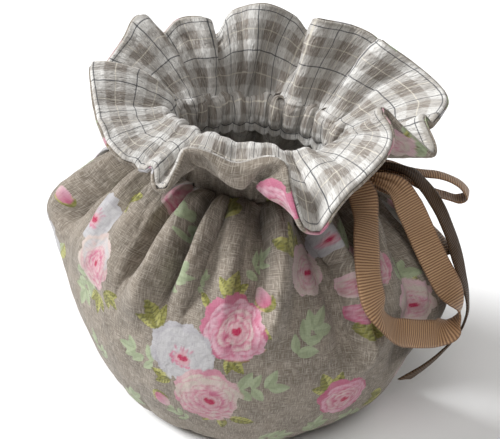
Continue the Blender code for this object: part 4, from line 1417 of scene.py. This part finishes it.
def frill_sheet(name, outward, columns, rows, shifts):
    """The outer cloth or the lining of casing and ruffle, its fine face the one that shows."""
    rim, rim_length = rim_points(COARSE * columns)
    path, neck = frill_path(rim, 1.0 if outward else 1.0 - RIM_OVERHANG)
    path, neck = path[:, :-1], neck[:-1]
    steps = np.linalg.norm(np.diff(path, axis=0), axis=2).mean(axis=1)
    knots = np.concatenate([[0], np.cumsum(steps)])
    knots /= knots[-1]
    climb = np.linspace(0, 1, COARSE * rows + 1)
    middle = spline(knots, path, climb)
    u = np.arange(COARSE * columns) * rim_length / (COARSE * columns)
    u = np.broadcast_to(u, middle.shape[:2])
    v = np.broadcast_to((climb * FRILL_WIDTH)[:, None], middle.shape[:2])
    upward = np.gradient(middle, axis=0)
    upward /= np.linalg.norm(upward, axis=2, keepdims=True)
    depth, dip, drop = pleat_relief(rim, u, v)
    outward_normals = blurred(grid_normals(middle, True), 3)
    middle = middle + outward_normals * depth[..., None] - upward * dip[..., None]
    middle[..., 2] -= drop
    normals = blurred(grid_normals(middle, True), 2)
    sign = 1 if outward else -1
    edge = np.minimum(v + 0.4, FRILL_WIDTH - v)
    lift = PIECE_GAP / 2 + rounded(FRILL_THICKNESS, edge, 1.0)
    tight = tightness(neck, v)
    bulges, fine, size = puckers(neck, v)
    soft = 0.55 * noise(u / 13, v / 11, 21) + 0.34 * noise(u / 5.5, v / 5, 22)
    soft = soft + 0.14 * noise(u / 2.3, v / 2.6, 23)
    detail = (size * bulges + FINE_PUCKER_SIZE * fine) * tight + soft * smooth(0, 5, edge)
    stitched = sum(bumps(v - stitch, 0.6) for stitch in CASING_STITCHES)
    detail -= CASING_STITCH_DEPTH * stitched
    flat = np.stack([u, v], axis=-1)
    if outward:
        detail += RIM_ROLL * bumps(v - (FRILL_WIDTH - 1.0), 0.9) + droop(rim[None, :-1, 0], v)
        slots, attributes = (LINEN,), paint(flat, shifts, FRILL_PLAIN).attributes()
    else:
        detail += LINING_PUFF * tight
        middle[..., 2] -= (1.6 * bulges + 0.8) * (1 - smooth(0, 12, v))
        slots, attributes = (CHECK,), ()
        flat = np.stack([u, v - FRILL_WIDTH + 3.0 + 2.2 * noise(u / 55, 0.5, 31)], axis=-1)
    detail = np.maximum(detail, -SINK_LIMITS[outward])
    front = middle + sign * normals * (lift + detail)[..., None]
    back = middle + sign * normals * (PIECE_GAP / 2)
    made = sheet_object(name, front, back, True, outward, flat, slots, attributes)
    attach(made, "root")
    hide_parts(name)
    size = (round(rim_length * MM, 3), round(FRILL_WIDTH * MM, 3))


# --------------------------------------------------------------------------- the ribbons


WIDTH_STEPS = 8
ROW_LENGTH = 0.5
SLANT_REACH = 6.0
RIBBON_CUP = 0.25
RIBBON_WAVE = 0.22
KNOT_PLEATS = 1.1


def ribbon(name, route, slant=0.0, material=RIBBON):
    """A ribbon along its route, cupped across and pinched towards the knot."""
    middle = np.stack([route["x"], route["y"], route["z"]], axis=1).astype(float)
    along = chord_lengths(middle)
    steps = COARSE * int(round(along[-1] / ROW_LENGTH / COARSE))
    at = np.linspace(0, along[-1], steps + 1)
    centre = spline(along, middle, at)
    azimuth, tilt = np.radians(route["across"]), np.radians(route["tilt"])
    level = np.cos(tilt)
    across = np.stack([level * np.cos(azimuth), level * np.sin(azimuth), np.sin(tilt)], axis=1)
    across = spline(along, across, at)
    forward = np.gradient(centre, axis=0)
    forward /= np.linalg.norm(forward, axis=1)[:, None]
    across -= forward * np.sum(across * forward, axis=1)[:, None]
    across /= np.linalg.norm(across, axis=1)[:, None]
    half = (np.interp(at, along, route["share"]) * RIBBON_WIDTH / 2)[:, None]
    place = np.linspace(-1, 1, COARSE * WIDTH_STEPS + 1)[None, :]
    run = at[:, None]
    points = centre[:, None] + across[:, None] * (half * place)[..., None]
    ends = smooth(along[-1] - SLANT_REACH, along[-1], run)
    points -= forward[:, None] * (slant / 2 * ends * place)[..., None]
    normals = np.cross(across, forward)
    pinch = 1 - half / (RIBBON_WIDTH / 2)
    cup = RIBBON_CUP * place**2 + pinch * KNOT_PLEATS * np.cos(place * 2.5 * math.pi)
    wave = RIBBON_WAVE * noise(run / 9 + 3, place * 1.2, len(name))
    edge = (1 - np.abs(place)) * half
    lift = rounded(RIBBON_HALF, edge, 0.5)
    shape = points + normals[:, None] * (cup + wave)[..., None]
    front = shape + normals[:, None] * lift[..., None]
    back = shape - normals[:, None] * lift[..., None]
    flat = np.stack(np.broadcast_arrays(place * RIBBON_WIDTH / 2, run), axis=-1)
    made = sheet_object(name, front, back, False, True, flat, (material,))
    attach(made, "root")
    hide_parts(name)


KNOT_INSET = 0.86
# The cloth's run along the knot and for each radian round it.
KNOT_CLOTH = (4.5, 5.2)


def knot():
    """The wrap of the bow: a drum of ribbon with creases that run round it."""
    columns, rows = 96, 64
    turn = np.linspace(0, 2 * math.pi, columns, endpoint=False)
    rise = np.linspace(-math.pi / 2, math.pi / 2, rows + 1)
    turn, rise = np.meshgrid(turn, rise)
    size = np.array(KNOT_SIZE) / 2 * KNOT_INSET

    def rounded_power(value, power):
        return np.sign(value) * np.abs(value) ** power

    x = rounded_power(np.cos(rise), 0.75) * rounded_power(np.cos(turn), 0.8)
    z = rounded_power(np.cos(rise), 0.75) * rounded_power(np.sin(turn), 0.8)
    y = rounded_power(np.sin(rise), 0.8)
    crease = 1 + 0.05 * np.sin(9 * y + 1.5 * np.sin(turn)) * np.cos(rise)
    points = np.stack([x * size[0] * crease, y * size[1], z * size[2] * crease], axis=-1)
    points = points + np.array(KNOT_CENTRE) + SHIFT
    mesh = bpy.data.meshes.new("ribbon_knot")
    faces = grid_quads(rows, columns, lambda r, c: r * columns + c % columns)
    faces = faces[:, OTHER_WAY].tolist()
    mesh.from_pydata((points.reshape(-1, 3) * MM).tolist(), [], faces)
    cloth = np.zeros((points.size // 3, 3))
    cloth[:, 0] = (y * KNOT_CLOTH[0] * MM).ravel()
    cloth[:, 1] = (turn * KNOT_CLOTH[1] * MM).ravel()
    mesh.attributes.new("cloth", "FLOAT_VECTOR", "POINT").data.foreach_set("vector", cloth.ravel())
    mesh.materials.append(RIBBON)
    mesh.shade_smooth()
    made = added("ribbon_knot_wrap", mesh)
    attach(made, "root")
    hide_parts("ribbon_knot")


# ------------------------------------------------------------------- camera, floor, light


def direction(azimuth, elevation):
    """Towards an azimuth from the front, +X being 90, and an elevation, in degrees."""
    a, e = math.radians(azimuth), math.radians(elevation)
    return Vector((math.sin(a) * math.cos(e), -math.cos(a) * math.cos(e), math.sin(e)))


SENSOR_WIDTH = 36.0


def camera():
    """The view from the front and above, turned a little to the handle side.

    "across" and "down" are the pixel at which the target lies in the picture.
    """
    elevation, azimuth, roll, distance = 31.5, 12.0, 6.5, 390.0
    pixels_per_mm, across, down, width, height = 2.12, 248.0, 236.0, 500.0, 439.0
    target = np.array([0.0, 0.0, 70.0]) + SHIFT
    r = math.radians(roll)
    back = direction(azimuth, elevation)
    right = (-back).cross(Vector((0, 0, 1))).normalized()
    up = right.cross(-back)
    x = right * math.cos(r) + up * math.sin(r)
    y = up * math.cos(r) - right * math.sin(r)
    data = bpy.data.cameras.new("camera")
    data.sensor_width = SENSOR_WIDTH
    data.lens = pixels_per_mm * distance / width * SENSOR_WIDTH
    data.shift_x = (width / 2 - across) / width
    data.shift_y = (down - height / 2) / width
    placed = Matrix((x, y, back)).transposed().to_4x4()
    placed.translation = Vector(target * MM) + back * distance * MM
    made = added("camera", data)
    made.matrix_world = placed
    bpy.context.scene.camera = made


LAMPS = table(
    "name azimuth elevation spread strength warmth",
    ("key", -75, 39, 25, 4.1, 1.03),
    ("top_fill", -5, 62, 35, 1.15, 0.97),
    ("back_fill", 150, 32, 45, 0.7, 0.98),
)
LAMP_DISTANCE = 2.5
ROOM_LIGHT = 0.09


def lights():
    """Broad soft lamps, at azimuths from the front and with their spread in degrees.

    The room's own light is dim, and beyond the floor's edge there is plain white paper.
    """
    for name, azimuth, elevation, spread, strength, warmth in zip(*LAMPS.values()):
        away = direction(float(azimuth), float(elevation))
        lamp = bpy.data.lights.new(str(name), "SUN")
        lamp.angle = math.radians(float(spread))
        lamp.energy = float(strength)
        lamp.color = (1.0, 0.5 + 0.5 * float(warmth), float(warmth))
        made = added(str(name), lamp)
        made.location = away * LAMP_DISTANCE
        made.rotation_mode = "QUATERNION"
        made.rotation_quaternion = (-away).to_track_quat("-Z", "Y")
    world = bpy.data.worlds.new("studio")
    world.use_nodes = True
    tree = world.node_tree
    room = tree.nodes["Background"]
    room.inputs["Color"].default_value = (1.0, 0.97, 0.94, 1.0)
    room.inputs["Strength"].default_value = ROOM_LIGHT
    paper = tree.nodes.new("ShaderNodeBackground")
    seen = tree.nodes.new("ShaderNodeLightPath")
    choice = tree.nodes.new("ShaderNodeMixShader")
    tree.links.new(seen.outputs["Is Camera Ray"], choice.inputs[0])
    tree.links.new(room.outputs[0], choice.inputs[1])
    tree.links.new(paper.outputs[0], choice.inputs[2])
    tree.links.new(choice.outputs[0], tree.nodes["World Output"].inputs["Surface"])
    paper.inputs["Color"].default_value = (1.0, 1.0, 1.0, 1.0)
    bpy.context.scene.world = world


FLOOR_REACH = 40.0


def floor():
    """Plain white paper, in metres."""
    mesh = bpy.data.meshes.new("floor")
    signs = ((-1, -1), (1, -1), (1, 1), (-1, 1))
    corners = [(FLOOR_REACH * x, FLOOR_REACH * y, 0) for x, y in signs]
    mesh.from_pydata(corners, [], [(0, 1, 2, 3)])
    nodes = Nodes("floor", 0.7)
    nodes.shader.inputs["Base Color"].default_value = (0.92, 0.92, 0.92, 1.0)
    mesh.materials.append(nodes.material)
    made = added("floor", mesh)


# Where each sheet's print repeats the motifs; the frill has none centred in its plain part.
FRONT_SHIFTS = ((0, 0),)
BACK_SHIFTS = ((-270, 22), (-262, -78), (-30, 30))
FRILL_SHIFTS = ((40, -40), (307, -26), (-190, -44), (530, -40))
FRILL_PLAIN = (374.0, 446.0)

camera()
lights()
floor()
panel("front_panel", 180.0, 360.0, 1, 0, 132, 66, FRONT_SHIFTS)
panel("back_panel", 0.0, 180.0, 0, 1, 100, 56, BACK_SHIFTS)
frill_sheet("frill", True, 200, 34, FRILL_SHIFTS)
frill_sheet("frill_lining", False, 230, 40, ())
ribbon("ribbon_loop_long", LONG_LOOP)
ribbon("ribbon_loop_short", SHORT_LOOP)
# The long tail takes the ribbon with painted shade.
ribbon("ribbon_tail_long", LONG_TAIL, TAIL_SLANT, PAINTED_SHADE_RIBBON)
ribbon("ribbon_tail_short", SHORT_TAIL)
knot()
bpy.context.scene.view_settings.view_transform = "Standard"
